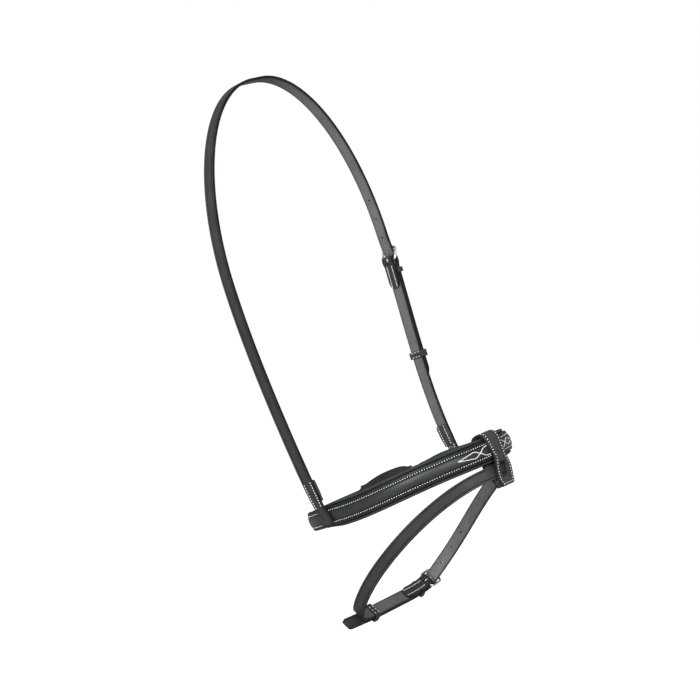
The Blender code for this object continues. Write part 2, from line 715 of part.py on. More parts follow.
def sliphead():
    """Crown strap with its billet, left cheek with its buckle, and the T leaves."""
    course = sliphead_course()
    bar_place = course.length - height_on_cheek(course, CROWN_BAR)
    site = Site(course, bar_place, facing=-1)

    tail = [TAB_LENGTH, TAB_LENGTH + NECK_HEIGHT, TAB_LENGTH + SHOULDER_HEIGHT]
    tip_round = route_with_tip(billet_route(CROWN_TIP, bar_place), CROWN_TIP,
                               SLIPHEAD_WIDTH)
    poll = bar_place - course.length / 2
    seat = [poll - POLL_FLAT / 2, poll + POLL_FLAT / 2]
    route = with_stations(tip_round, [bar_place - mark for mark in tail] + seat)
    tab = cheek_spread(bar_place)
    rounding = tip_spread(CROWN_TIP, SLIPHEAD_WIDTH)
    section = flat_section(
        SLIPHEAD_WIDTH, lambda along: tab(along) if along > 0 else rounding(along))
    crown = strap("crown_strap", site, route, section, LEATHER_BLACK)
    punch_holes(crown, site, CROWN_HOLES)

    far_end = bar_place - course.length
    cheek_route = with_stations(chape_route(far_end), [far_end + mark for mark in tail])
    section = flat_section(SLIPHEAD_WIDTH, cheek_spread(-far_end))
    cheek = strap("left_cheek_strap", site, cheek_route, section, LEATHER_BLACK)
    buckle("crown_buckle", site, SLIPHEAD_WIDTH, cheek, None)
    keepers("crown", site, SLIPHEAD_WIDTH, CROWN_KEEPER, LEATHER_BLACK, None, None)

    for name, start, facing in (("right_t_leaf", 0.0, 1),
                                ("left_t_leaf", course.length, -1)):
        leaf_site = Site(course, start, facing)
        leaf_route = run(TAB_LENGTH + LEAF_FOOT, TAB_LENGTH + LEAF_TOP, -Buckle.layer,
                         2 * BEND_STEP)
        strap(name, leaf_site, leaf_route, flat_section(SLIPHEAD_WIDTH, leaf_spread),
              LEATHER_BLACK)


def leaf_spread(along):
    """The leaf widens from its foot to the strap's full width."""
    share = (along - TAB_LENGTH - LEAF_FOOT) / (LEAF_TOP - LEAF_FOOT)
    foot = LEAF_FOOT_WIDTH / SLIPHEAD_WIDTH
    return foot + (1.0 - foot) * eased(2 * share)


def with_stations(route, extra):
    """Adds sections at the extra places along a route, at the route's own level."""
    forward = route[-1][0] > route[0][0]
    route = list(route)
    for mark in extra:
        for index in range(len(route) - 1):
            here, there = route[index][0], route[index + 1][0]
            inside = here < mark < there if forward else there < mark < here
            if inside and min(abs(mark - here), abs(there - mark)) > EDGE:
                share = (mark - here) / (there - here)
                level = route[index][1] + share * (route[index + 1][1] - route[index][1])
                route.insert(index + 1, (mark, level))
                break
    return route


# Noseband

def facing_section(along):
    """A flat back and a raised, rounded front between two thin borders."""
    half = FACING_WIDTH / 2
    back = LEATHER / 2 + SEAM
    arch = [(half * across, back + FACING_BORDER + (FACING_RISE - FACING_BORDER) * rise)
            for across, rise in FACING_ARCH_SHARES]
    mirrored = [(-side, out) for side, out in reversed(arch[:-1])]
    return [(half, back), (half, back + FACING_BORDER)] + arch + mirrored + [
        (-half, back + FACING_BORDER), (-half, back)]


def lining_section(start, end):
    """A soft pad whose rolled edges rise beside the backing and fade at both ends."""
    back = -LEATHER / 2 - SEAM
    inner = BAND_WIDTH / 2 + SEAM
    roll = LINING_WIDTH / 2 - inner

    def section(along):
        share = eased(min(along - start, end - along) / LINING_TAPER)
        thick = LINING_THICK * (LINING_END_SHARE + (1.0 - LINING_END_SHARE) * share)
        side = [(inner + roll * past * (share if past > 0 else 1.0),
                 back + LINING_ROLL * rise * share - thick * depth)
                for past, rise, depth in LINING_EDGE_SHARES]
        return side + [(-across, out) for across, out in reversed(side)]
    return section


def noseband(course, holder):
    """Backing, raised facing, lining, chin billet, buckle, keepers and pad."""
    right_t = turn_length(course, 1)
    left_t = turn_length(course, 3)
    bar_place = left_t + CHIN_BAR
    site = Site(course, bar_place)

    backing_end = right_t - BACKING_TAIL - bar_place
    backing = strap("noseband_backing", site,
                    chape_route(backing_end, BAND_STEP, CHIN_CHAPE),
                    flat_section(BAND_WIDTH), LEATHER_BLACK, holder)
    facing_route = run(backing_end, left_t + FACING_TAIL - bar_place, 0.0, BAND_STEP)
    strap("noseband_facing", site, facing_route, facing_section, LEATHER_BLACK, holder)

    start = right_t - LINING_TAIL - bar_place
    end = left_t + LINING_LEFT_TAIL - bar_place
    strap("noseband_lining", site, run(start, end, 0.0, BAND_STEP),
          lining_section(start, end), PADDING_GREEN, holder)

    billet_start = right_t - BACKING_TAIL + CHIN_OVERLAP - bar_place + course.length
    overlap_end = billet_start - CHIN_OVERLAP
    level = -Buckle.layer
    billet = billet_route(CHIN_TIP, overlap_end - 2 * RAMP, BAND_STEP)
    billet += ramp((overlap_end - 2 * RAMP, 0.0), (overlap_end - RAMP, level), 4)
    billet += run(overlap_end - RAMP, billet_start, level, BAND_STEP)[1:]
    billet = route_with_tip(billet, CHIN_TIP, CHIN_WIDTH)
    chin = strap("chin_billet", site, billet,
                 flat_section(CHIN_WIDTH, tip_spread(CHIN_TIP, CHIN_WIDTH)),
                 LEATHER_BLACK, holder)
    punch_holes(chin, site, CHIN_HOLES)
    buckle("chin_buckle", site, BAND_WIDTH, backing, holder)
    keepers("chin", site, BAND_WIDTH, CHIN_KEEPER, LEATHER_BLACK, holder, holder)
    buckle_pad(course, left_t, site, holder)


def buckle_pad(course, left_t, site, holder):
    """A cushion between the buckle and the jaw, with a loop on its back that holds the
    billet."""
    centre = Site(course, left_t + PAD_CENTRE)
    floor = Buckle.layer + LEATHER / 2 + SLIP + KEEPER_WALL + SEAM
    places, heights, depths = zip(*PAD_RISE_SHARES)

    def section(along):
        share = 2 * along / PAD_LENGTH
        height = PAD_HEIGHT / 2 * float(np.interp(share, places, heights))
        thick = PAD_THICK * float(np.interp(share, places, depths))
        return [(height * across, -floor - thick * depth)
                for across, depth in PAD_SECTION_SHARES]
    route = [(PAD_LENGTH / 2 * share, 0.0) for share in places]
    strap("buckle_pad", centre, route, section, SUEDE_BLACK, holder)
    ring_box("buckle_pad_loop", site, PAD_LOOP, PAD_LOOP_LENGTH, BAND_WIDTH, -LEATHER / 2,
             LEATHER / 2 + Buckle.dip, LEATHER_BLACK,
             floor=floor - SEAM - LEATHER / 2 - SLIP, holder=holder)


# Flash loop and flash strap

def nose_course():
    """A straight line down through the middle of the band's front, on which the loop is
    laid out: X runs down and Z out of the nose."""
    middle, _, up = nose_frame()
    return Course([middle + up * PADDLE_DROP, middle, middle - up * PADDLE_DROP],
                  (0.0, 1.0, 0.0))


def loop_sag(along, side):
    """How far the loop curves back with the nosepiece, above the flash strap."""
    clear = SLOT_DROP - FLASH_WIDTH / 2
    share = eased((clear - along) / (SLOT_DROP - WAIST_DROP))
    return side * side / (2 * LOOP_BEND_RADIUS) * share


def flash_loop(holder):
    """A strap folded over the nosepiece: its two ends hang in front of and behind the
    flash strap and are sewn together below it, over a filler."""
    site = Site(nose_course(), PADDLE_DROP, sag=loop_sag)
    half = LOOP_LEAF / 2
    front = facing_face() + LOOP_ROOM + half
    back = LEATHER / 2 + SEAM + LINING_THICK + LOOP_ROOM + half
    top = LINING_WIDTH / 2 + LOOP_ROOM + half
    apart = LEATHER / 2 + SLOT_SLIP + half
    foot = SLOT_DROP + FLASH_WIDTH / 2
    guides = [(PADDLE_DROP, apart), (foot, apart)]
    guides += [(top * down, front * out) for down, out in LOOP_FRONT_SHARES]
    guides += [(top * down, -back * out) for down, out in LOOP_BACK_SHARES]
    guides += [(foot, -apart), (PADDLE_DROP, -apart)]
    route = smooth_line(guides, closed=False, steps=LOOP_STEPS)
    marks = (-WAIST_DROP, WAIST_DROP, SLOT_DROP, foot, PADDLE_DROP)
    widths = (LOOP_WIDTH, WAIST_WIDTH, PADDLE_WIDTH, PADDLE_WIDTH, PADDLE_TIP_WIDTH)

    def spread(along):
        return float(np.interp(along, marks, widths)) / LOOP_WIDTH
    loop = strap("flash_loop", site, route,
                 flat_section(LOOP_WIDTH, spread, LOOP_LEAF, columns=4), LEATHER_BLACK,
                 holder)
    window = box_cutter("flash_loop_window", site.matrix(SLOT_DROP),
                        (WINDOW_HEIGHT, WINDOW_WIDTH, 2 * front),
                        (0.0, 0.0, LEATHER / 2 + front))
    cut(loop, window)
    strap("flash_loop_filler", site, [(foot + SLOT_SLIP, 0.0), (PADDLE_DROP - EDGE, 0.0)],
          flat_section(PADDLE_TIP_WIDTH, thick=2 * (apart - half - SEAM)), LEATHER_BLACK,
          holder)


def flash_strap(course, holder):
    """One strap round the jaw, from the chape through the slot to the billet's tip."""
    leave = FLASH_BAR + course.length + FLASH_LEAVE
    site = Site(course, FLASH_BAR, facing=-1, leave=leave)
    joint = LEAD_IN + FLASH_STEP
    route = list(reversed(chape_route(joint - course.length, FLASH_STEP, FLASH_CHAPE)))
    billet = billet_route(FLASH_TIP, joint, FLASH_STEP)
    billet = route_with_tip(billet, FLASH_TIP, FLASH_WIDTH)
    wound = [(along - course.length, out) for along, out in reversed(billet)]
    route = route[:-1] + wound
    rounding = tip_spread(FLASH_TIP, FLASH_WIDTH)
    section = flat_section(FLASH_WIDTH, lambda along: rounding(along + course.length))
    band = strap("flash_strap", site, route, section, LEATHER_BLACK, holder)
    punch_holes(band, site, FLASH_HOLES, FLASH_HOLE_SPACING)
    buckle("flash_buckle", site, FLASH_WIDTH, band, holder)
    keepers("flash", site, FLASH_WIDTH, FLASH_KEEPER, LEATHER_BLACK, holder, holder)


# Assembly

T_LINE = Vector((-sweep(DROP), 0.0, LEATHER / 2 - DROP))

for old in list(bpy.data.objects):
    bpy.data.objects.remove(old)
parts = bpy.data.collections.new(NAME)
cutters = bpy.data.collections.new(NAME + "_cutters")
bpy.context.scene.collection.children.link(parts)
bpy.context.scene.collection.children.link(cutters)

sliphead()
noseband_pivot = pivot("noseband_pivot", Matrix.Translation(T_LINE))
noseband(band_course(), noseband_pivot)
nose, _, nose_up = nose_frame()
swing_drop = SLOT_DROP + FLASH_WIDTH / 2 - SWING_RISE
flash_pivot = pivot("flash_pivot", Matrix.Translation(nose - swing_drop * nose_up),
                    noseband_pivot)
flash_loop(noseband_pivot)
flash_strap(flash_course(), flash_pivot)
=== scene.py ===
import math

import bpy
import numpy as np
from mathutils import Matrix, Vector


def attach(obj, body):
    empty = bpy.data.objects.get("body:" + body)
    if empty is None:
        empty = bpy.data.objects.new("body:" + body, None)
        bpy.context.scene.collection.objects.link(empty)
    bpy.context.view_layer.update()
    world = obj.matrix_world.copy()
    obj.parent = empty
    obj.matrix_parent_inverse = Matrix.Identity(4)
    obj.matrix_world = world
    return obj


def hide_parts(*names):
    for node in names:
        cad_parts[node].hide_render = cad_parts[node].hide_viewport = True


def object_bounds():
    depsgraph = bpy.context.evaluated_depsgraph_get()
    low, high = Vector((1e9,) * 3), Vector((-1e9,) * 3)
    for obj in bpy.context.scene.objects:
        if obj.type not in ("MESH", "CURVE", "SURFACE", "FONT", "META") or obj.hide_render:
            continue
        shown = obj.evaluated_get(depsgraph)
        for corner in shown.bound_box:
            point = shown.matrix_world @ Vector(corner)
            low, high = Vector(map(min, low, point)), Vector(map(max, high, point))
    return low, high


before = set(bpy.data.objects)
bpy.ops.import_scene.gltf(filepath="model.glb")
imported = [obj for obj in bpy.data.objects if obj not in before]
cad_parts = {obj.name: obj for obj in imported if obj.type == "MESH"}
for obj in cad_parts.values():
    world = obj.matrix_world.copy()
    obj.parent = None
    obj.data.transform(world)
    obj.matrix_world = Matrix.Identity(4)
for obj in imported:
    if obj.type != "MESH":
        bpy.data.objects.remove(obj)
cad_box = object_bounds()


# Camera. It stands on the horse's right and a little in front, level with the middle of
# the cheeks. It is rolled, so that the nosepiece climbs to the right of the picture.
CAMERA_TURN = math.radians(43.76)
CAMERA_ROLL = math.radians(20.03)
CAMERA_DISTANCE = 2.0
CAMERA_TARGET = Vector((-0.0009, 0.0, -0.27683))
CAMERA_LENS = 105.9
FILM_WIDTH = 36.0

back = Vector((math.sin(CAMERA_TURN), -math.cos(CAMERA_TURN), 0.0))
side = Vector((math.cos(CAMERA_TURN), math.sin(CAMERA_TURN), 0.0))
rise = back.cross(side)
right = math.cos(CAMERA_ROLL) * side - math.sin(CAMERA_ROLL) * rise
upward = math.sin(CAMERA_ROLL) * side + math.cos(CAMERA_ROLL) * rise
camera_data = bpy.data.cameras.new("camera")
camera_data.lens = CAMERA_LENS
camera_data.sensor_width = FILM_WIDTH
camera_data.sensor_fit = "HORIZONTAL"
camera = bpy.data.objects.new("camera", camera_data)
camera.matrix_world = (Matrix.Translation(CAMERA_TARGET + CAMERA_DISTANCE * back)
                       @ Matrix((right, upward, back)).transposed().to_4x4())
bpy.context.scene.collection.objects.link(camera)
bpy.context.scene.camera = camera


# Studio. A pale floor in a white surround. Two large soft lamps stand left and right of
# the camera and a little above it, and a weak one hangs high on the far left.
class Level:
    """A socket, so that the maths on it is written as an expression."""

    def __init__(self, bench, socket):
        self.bench = bench
        self.socket = socket

    def __add__(self, other):
        return self.bench.maths("ADD", self, other)

    def __sub__(self, other):
        return self.bench.maths("SUBTRACT", self, other)

    def __rsub__(self, other):
        return self.bench.maths("SUBTRACT", other, self)

    def __mul__(self, other):
        return self.bench.maths("MULTIPLY", self, other)

    __radd__ = __add__
    __rmul__ = __mul__


class Bench:
    """The nodes of one material or of the world."""

    def __init__(self, owner):
        owner.use_nodes = True
        self.owner = owner
        self.tree = owner.node_tree

    def node(self, kind, settings, sockets):
        made = self.tree.nodes.new("ShaderNode" + kind)
        for name, value in settings.items():
            if name == "stops":
                stops = made.color_ramp.elements
                for index, (place, shade) in enumerate(value):
                    stop = stops[index] if index < len(stops) else stops.new(place)
                    stop.position = place
                    stop.color = (shade, shade, shade, 1.0)
            else:
                setattr(made, name, value)
        self.join(made, sockets)
        return made

    def join(self, node, sockets):
        for name, value in sockets.items():
            if isinstance(value, Level):
                self.tree.links.new(value.socket, node.inputs[name])
            else:
                node.inputs[name].default_value = value

    def level(self, kind, settings, sockets, output=0):
        return Level(self, self.node(kind, settings, sockets).outputs[output])

    def maths(self, operation, first, second, clamp=False):
        return self.level("Math", {"operation": operation, "use_clamp": clamp},
                          {0: first, 1: second})

    def seen_straight(self):
        """1 for what the camera sees, in steel and glass too, and 0 for all other light."""
        path = self.node("LightPath", {}, {})
        seen = [Level(self, path.outputs[name])
                for name in ("Is Camera Ray", "Is Glossy Ray", "Is Transmission Ray")]
        return self.maths("MINIMUM", seen[0] + seen[1] + seen[2], 1.0)


WHITE = (1.0, 1.0, 1.0, 1.0)
SURROUND_COLOUR = (0.80, 0.81, 0.83, 1.0)
SURROUND_LIGHT = 0.42
surround = Bench(bpy.data.worlds.new("surround"))
bpy.context.scene.world = surround.owner
for old in list(surround.tree.nodes):
    surround.tree.nodes.remove(old)
lit = surround.level("Background", {}, {"Color": SURROUND_COLOUR,
                                        "Strength": SURROUND_LIGHT})
shown = surround.level("Background", {}, {"Color": WHITE, "Strength": 1.0})
both = surround.level("MixShader", {}, {0: surround.seen_straight(), 1: lit, 2: shown})
surround.node("OutputWorld", {}, {"Surface": both})

FLOOR_SIZE = 6.0
FLOOR_DEPTH = 0.03          # how far it lies below the noseband
FLOOR_GREY = (0.35, 0.35, 0.35, 1.0)
bpy.ops.object.select_all(action="DESELECT")
bpy.ops.mesh.primitive_plane_add(size=FLOOR_SIZE,
                                 location=(0.0, 0.0, cad_box[0].z - FLOOR_DEPTH))
floor = bpy.context.object
floor.name = "floor"
painted = Bench(bpy.data.materials.new("floor_paint"))
matt = painted.level("BsdfDiffuse", {}, {"Color": FLOOR_GREY})
glow = painted.level("Emission", {}, {"Color": WHITE, "Strength": 1.0})
lifted = painted.level("AddShader", {}, {0: matt, 1: glow})
floor_mix = painted.level("MixShader", {}, {0: painted.seen_straight(), 1: matt, 2: lifted})
painted.join(painted.tree.nodes["Material Output"], {"Surface": floor_mix})
floor.data.materials.append(painted.owner)

LAMPS = (
    # place, size, power
    ((0.80, -1.60, 0.30), 1.0, 38.0),
    ((1.85, -0.95, 0.20), 1.1, 34.0),
    ((-0.6, -1.1, 1.1), 1.2, 3.0),
)
for place, size, power in LAMPS:
    lamp_data = bpy.data.lights.new("lamp", "AREA")
    lamp_data.shape = "DISK"
    lamp_data.size = size
    lamp_data.energy = power
    lamp = bpy.data.objects.new("lamp", lamp_data)
    lamp.location = place
    lamp.rotation_euler = (CAMERA_TARGET - Vector(place)).to_track_quat("-Z", "Y").to_euler()
    bpy.context.scene.collection.objects.link(lamp)
bpy.context.scene.view_settings.view_transform = "Standard"


# Crown strap. One long strap of 13 mm bridle leather over the poll. Its right end is sewn
# to the noseband, and on the left it is the billet that passes through the buckle. Its
# outer face is dyed and creased beside each edge, and its inner face is bare leather.
LEATHER = 0.0026            # thickness
HALF_LEATHER = LEATHER / 2
SEAM = 0.0003               # gap that thread and glue leave between two layers
LAYER = LEATHER + SEAM
SLIPHEAD_WIDTH = 0.013
DROP = 0.4182               # from the poll down to the line through both T joints
POLL_FLAT = 0.014
CHEEK_HEIGHT = 0.235        # height above the T line where the crown's arch starts
CHEEK_BOW = 0.0108          # how far the cheeks sweep back
CHEEK_BOW_POWER = 0.62
CHEEK_LEAN = 0.0005
BOW_HEIGHT = 0.330
CHEEK_SPREAD = 0.0105       # how far each cheek leans out
SPREAD_START = 0.020
TAB_LENGTH = 0.0070
HALF_WIDTH = 0.0960         # from the middle of the head to each T joint
FACING_RISE = 0.0036
FACING_BACK = HALF_LEATHER + SEAM
FACING_FACE = FACING_BACK + FACING_RISE
CROWN_BAR = 0.212           # buckle bar above the T line
CROWN_TIP = 0.124           # billet past the bar
WIRE = 0.0013               # radius of a buckle's wire
TONGUE = 0.0010             # radius of its tongue
BAR_SLACK = 0.00035         # between the bar and the leather round it
BUCKLE_REACH = 0.0130       # from the bar to the front of the frame
RAMP = 0.0085               # how far behind the bar a strap has come down again
LEAD_IN = 0.024             # how far in front of the bar it lies flat again
BEND_STEP = 0.0025
FOLD = WIRE + BAR_SLACK + HALF_LEATHER
BAR_LEVEL = -LAYER / 2
OVER_BAR = BAR_LEVEL + FOLD + LAYER
DIP = LEATHER * 0.3         # how high a strap passes under the front of the frame
FRAME_TILT = math.asin((DIP + HALF_LEATHER + SEAM + WIRE - BAR_LEVEL) / BUCKLE_REACH)


def unit(rows):
    rows = np.array(rows, dtype=float)
    return rows / np.linalg.norm(rows, axis=-1, keepdims=True)


def eased(share):
    share = np.clip(share, 0.0, 1.0)
    return share * share * (3.0 - 2.0 * share)


def lengths_along(points):
    """How far each point is along the line through them all."""
    runs = np.linalg.norm(np.diff(points, axis=0), axis=1)
    return np.concatenate([[0.0], np.cumsum(runs)])


def read_rows(place, lengths, rows):
    """The rows at these places, where each of the rows belongs to one of the lengths."""
    return np.stack([np.interp(place, lengths, row) for row in rows.T], axis=-1)


class Course:
    """The line that a strap follows round the head, measured by its length."""

    def __init__(self, points, across, closed=False):
        points = np.array(points, dtype=float)
        ahead, behind = np.roll(points, -1, axis=0), np.roll(points, 1, axis=0)
        if not closed:
            ahead[-1], behind[0] = points[-1], points[0]
        along = unit(ahead - behind)
        self.out = unit(np.cross(along, np.broadcast_to(across, along.shape)))
        self.across = np.cross(self.out, along)
        self.points = points
        self.closed = closed
        if closed:
            self.points, self.out, self.across = (
                np.vstack([rows, rows[:1]]) for rows in (points, self.out, self.across))
        self.lengths = lengths_along(self.points)
        self.length = float(self.lengths[-1])

    def at(self, place, leave=None):
        """Points and their axes across and out. Past leave, the strap runs straight on."""
        past = np.zeros(np.shape(place))
        if leave is not None:
            past = np.maximum(place - leave, 0.0)
            place = np.minimum(place, leave)
        if self.closed:
            place = np.mod(place, self.length)
        across = unit(read_rows(place, self.lengths, self.across))
        out = unit(read_rows(place, self.lengths, self.out))
        points = read_rows(place, self.lengths, self.points)
        return points + past[..., None] * np.cross(across, out), across, out


def read_points(piece):
    flat = np.empty(3 * len(piece.data.vertices), np.float32)
    piece.data.vertices.foreach_get("co", flat)
    return flat.reshape(-1, 3).astype(float)


def move_points(piece, points):
    piece.data.vertices.foreach_set("co", points.ravel())
    piece.data.update()


class Site:
    """A place on a course where a strap is laid. The bench's X axis runs along the
    strap, Y across it and Z out of its face."""

    def __init__(self, course, start, facing=1, leave=None, sag=None):
        self.course = course
        self.start = start
        self.facing = facing
        self.leave = leave
        self.sag = sag

    def spots(self, along, across, out):
        points, sideways, outward = self.course.at(self.start + self.facing * along,
                                                   self.leave)
        if self.sag:
            out = out - self.sag(along, across)
        return (points + (self.facing * across)[:, None] * sideways
                + out[:, None] * outward)

    def lay(self, piece, fold=None):
        """Takes a piece off the bench and bends it to its place on the head."""
        along, across, out = read_points(piece).T
        if fold:
            reach, level, forward, climb = fold.at(along)
            along, out = reach - out * climb, level + out * forward
        move_points(piece, self.spots(along, across, out))

    def matrix(self, along):
        points, across, out = self.course.at(np.array(self.start + self.facing * along),
                                             self.leave)
        forward = np.cross(across, out)
        axes = Matrix((self.facing * forward, self.facing * across, out)).transposed()
        return Matrix.Translation(Vector(points)) @ axes.to_4x4()


class Fold:
    """How a strap lies over others at a buckle: how far along and out it is at each
    length of its own leather. Its corners are softened as leather softens them."""

    def __init__(self, points, soft=0.0016):
        points = np.array(points, dtype=float)
        apart = np.diff(lengths_along(points)) > 1e-7
        points = points[np.append(True, apart)]
        runs = lengths_along(points)
        step = 0.0004
        self.lengths = np.linspace(0.0, runs[-1], int(runs[-1] / step) + 2)
        dense = read_rows(self.lengths, runs, points)
        count = int(soft / step)
        start = dense[0] + (dense[0] - dense[1]) * np.arange(count, 0, -1)[:, None]
        end = dense[-1] + (dense[-1] - dense[-2]) * np.arange(1, count + 1)[:, None]
        padded = np.vstack([start, dense, end])
        window = np.hanning(2 * count + 3)[1:-1]
        self.points = np.stack([np.convolve(row, window / window.sum(), "valid")
                                for row in padded.T], axis=-1)
        self.ahead = unit(np.gradient(self.points, axis=0))

    def at(self, place):
        reach, level = read_rows(place, self.lengths, self.points).T
        forward, climb = unit(read_rows(place, self.lengths, self.ahead)).T
        return reach, level, forward, climb

    def bend(self):
        """Length of the strap's own leather where it turns back round the bar."""
        return float(self.lengths[int(np.argmax(self.points[:, 0]))])

    def own_length(self, reach):
        """Length of the strap's own leather at this place along the course."""
        reaches = self.points[:, 0]
        if reaches[-1] < reaches[0]:
            return float(np.interp(-reach, -reaches, self.lengths))
        return float(np.interp(reach, reaches, self.lengths))


def ramp(start, end, count=12):
    shares = np.arange(1, count + 1) / count
    return [(start[0] + (end[0] - start[0]) * share,
             start[1] + (end[1] - start[1]) * float(eased(share))) for share in shares]


def billet_fold(tip, far_end):
    """From the billet's tip over the bar, under the front of the frame and on."""
    front = BUCKLE_REACH * math.cos(FRAME_TILT)
    points = [(-tip, LAYER), (-RAMP, LAYER)]
    points += ramp((-RAMP, LAYER), (-BEND_STEP, OVER_BAR))
    points += [(0.0, OVER_BAR), (front, DIP)]
    points += ramp(points[-1], (LEAD_IN, 0.0)) + [(far_end, 0.0)]
    return points


def rounded_tip(width, length_share=0.8, tip_share=0.35):
    """Half the width along a billet, from its narrow tip."""
    def half(along):
        inset = np.clip(along / (width * length_share), 0.0, 1.0)
        return width / 2 * (tip_share + (1 - tip_share) * np.sin(inset * math.pi / 2))
    return half


def t_end(length):
    """Half the width near a T joint at this length: a tab, a neck and the full strap."""
    marks = np.array([0.0, 0.0007, 0.0016, 0.0052, 0.0085, 0.0180, 0.030, 0.037])
    widths = np.array([0.0128, 0.0140, 0.0145, 0.0145, 0.0132, 0.0110, 0.0126, 0.0130])

    def half(along):
        return np.interp(length - along, marks, widths) / 2
    return half


CREASE = 0.00035            # how deep the creases beside the edges are pressed
CREASE_SHARE = 0.72         # where they lie, of half the width
CREASE_SPREAD = 0.075


def strap_top(along, share):
    """The outer face, which dips at both creases."""
    away = (np.abs(share) - CREASE_SHARE) / CREASE_SPREAD
    return HALF_LEATHER - CREASE * np.exp(-away * away)


def flat_face(out):
    return lambda along, share: np.full(np.shape(along), out)


strap_bottom = flat_face(-HALF_LEATHER)


def both_sides(shares):
    """The same shares of half the width on both sides of the middle."""
    return [-share for share in shares[:0:-1]] + list(shares)


STRAP_ROWS = both_sides((0.0, 0.4, 0.63, 0.68, 0.72, 0.76, 0.81, 0.93, 1.0))
ROUND_ANGLE = math.radians(50)      # sharper edges than this are rounded off


def pick(piece):
    bpy.ops.object.select_all(action="DESELECT")
    piece.select_set(True)
    bpy.context.view_layer.objects.active = piece


def work(piece, kind, **settings):
    """Adds one modifier with these settings to a piece and applies it."""
    pick(piece)
    modifier = piece.modifiers.new(kind.lower(), kind)
    for name, value in settings.items():
        setattr(modifier, name, value)
    bpy.ops.object.modifier_apply(modifier=modifier.name)


def cut_leather(name, stations, half, top, bottom, rows=STRAP_ROWS, edge=0.0006):
    """A strap on the bench: a sheet given its outline, its two faces and round edges."""
    bpy.ops.object.select_all(action="DESELECT")
    bpy.ops.mesh.primitive_grid_add(x_subdivisions=len(stations) - 1,
                                    y_subdivisions=len(rows) - 1, size=2.0)
    piece = bpy.context.object
    piece.name = piece.data.name = name
    work(piece, "SOLIDIFY", thickness=LEATHER, offset=-1.0)
    flat = read_points(piece)
    columns = np.rint((flat[:, 0] + 1) / 2 * (len(stations) - 1)).astype(int)
    lines = np.rint((flat[:, 1] + 1) / 2 * (len(rows) - 1)).astype(int)
    along = np.array(stations, dtype=float)[columns]
    share = np.array(rows, dtype=float)[lines]
    outer = flat[:, 2] > -HALF_LEATHER
    out = np.where(outer, top(along, share), bottom(along, share))
    move_points(piece, np.stack([along, share * half(along), out], axis=-1))
    if edge:
        work(piece, "BEVEL", width=edge, segments=3, limit_method="ANGLE",
             angle_limit=ROUND_ANGLE)
    along, across, _ = read_points(piece).T
    narrowest = edge + 0.001
    shares = piece.data.attributes.new("width_share", "FLOAT", "POINT")
    shares.data.foreach_set("value", np.abs(across) / np.maximum(half(along), narrowest))
    return piece


def finish_piece(piece, body, stands_for=(), finishes=(), angle=42):
    """Gives a laid piece its finishes, its body and the CAD nodes that it stands for."""
    for material in finishes:
        piece.data.materials.append(material)
    pick(piece)
    bpy.ops.object.shade_smooth_by_angle(angle=math.radians(angle))
    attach(piece, body)
    if stands_for:
        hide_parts(*stands_for)


def mark_inside(piece, inner=-1, dyed_past=math.inf):
    """The inner face, which looks down or up on the bench, takes the second finish. A tip
    past this place is dyed all round."""
    for face in piece.data.polygons:
        looks_in = face.normal.z * inner > 0.55
        face.material_index = 1 if looks_in and face.center.x < dyed_past else 0


# Across the strap, from the middle to the edge: painted shade darkens the creases, a painted
# highlight lightens the border beyond them, and the edges are darkest.
PLAIN_DYE_AND_PAINTED_LIGHT = ((0.0, 0.5), (0.60, 0.45), (0.67, 0.0), (0.74, 0.0), (0.80, 0.75), (0.90, 0.75),
             (0.96, 0.05))
PORES_PER_METRE = 1150.0
WRINKLES_PER_METRE = 330.0
PATCHES_PER_METRE = 42.0
DARKEST = 0.25              # of the dye's colour
PALEST = 2.0


def noise(bench, scale, detail, **sockets):
    """A pattern from 0 to 1 that stays with the piece."""
    place = bench.level("TexCoord", {}, {}, "Object")
    return bench.level("TexNoise", {}, {"Vector": place, "Scale": scale, "Detail": detail,
                                        **sockets}, "Fac")


def between(bench, share, low, high):
    """A colour from low to high."""
    return bench.level("Mix", {"data_type": "RGBA"},
                       {0: share, 6: (*low, 1.0), 7: (*high, 1.0)}, 2)


def relief(bench, height, strength, depth):
    return bench.level("Bump", {}, {"Height": height, "Strength": strength,
                                    "Distance": depth}, "Normal")


def leather_finish(name, colour, dye_and_painted_light=PLAIN_DYE_AND_PAINTED_LIGHT, pore=0.22, wrinkle=0.55, sheen=0.24,
                   sheen_blur=0.38):
    """Dyed leather: fine pores and soft wrinkles. Colour and sheen vary a little, and they
    vary across the strap too, after the ramp given: with the plain ramp the colour is darker
    in the creases as painted shade, paler on the border beyond them as a painted highlight
    and darkest at the edges, and the sheen is duller in the creases and at the edges."""
    bench = Bench(bpy.data.materials.new(name))
    place = bench.level("TexCoord", {}, {}, "Object")
    pores = bench.level("TexVoronoi", {}, {"Vector": place, "Scale": PORES_PER_METRE},
                        "Distance")
    folds = noise(bench, WRINKLES_PER_METRE, 5.0, Roughness=0.62)
    patches = noise(bench, PATCHES_PER_METRE, 3.0)
    width_share = bench.level("Attribute", {"attribute_name": "width_share"}, {}, "Fac")
    # The ramp across the width carries the dye together with painted shade and painted
    # highlight.
    band = bench.level("ValToRGB", {"stops": dye_and_painted_light}, {"Fac": width_share}, "Color")
    spread = bench.maths("ADD", patches * 0.40 + folds * 0.35, band * 0.9 - 0.35,
                         clamp=True)
    mixed = between(bench, spread, [shade * DARKEST for shade in colour],
                    [shade * PALEST for shade in colour])
    bump = relief(bench, pores * pore + folds * wrinkle, 0.45, 0.0004)
    bench.join(bench.tree.nodes["Principled BSDF"],
               {"Base Color": mixed, "Normal": bump, "Roughness": patches * 0.16 + 0.6,
                "Coat Weight": band * sheen, "Coat Roughness": sheen_blur,
                "Specular IOR Level": 0.03})
    return bench.owner


FLESH_DYE = ((0.0, 0.55), (0.72, 0.5), (0.88, 0.15), (1.0, 0.0))


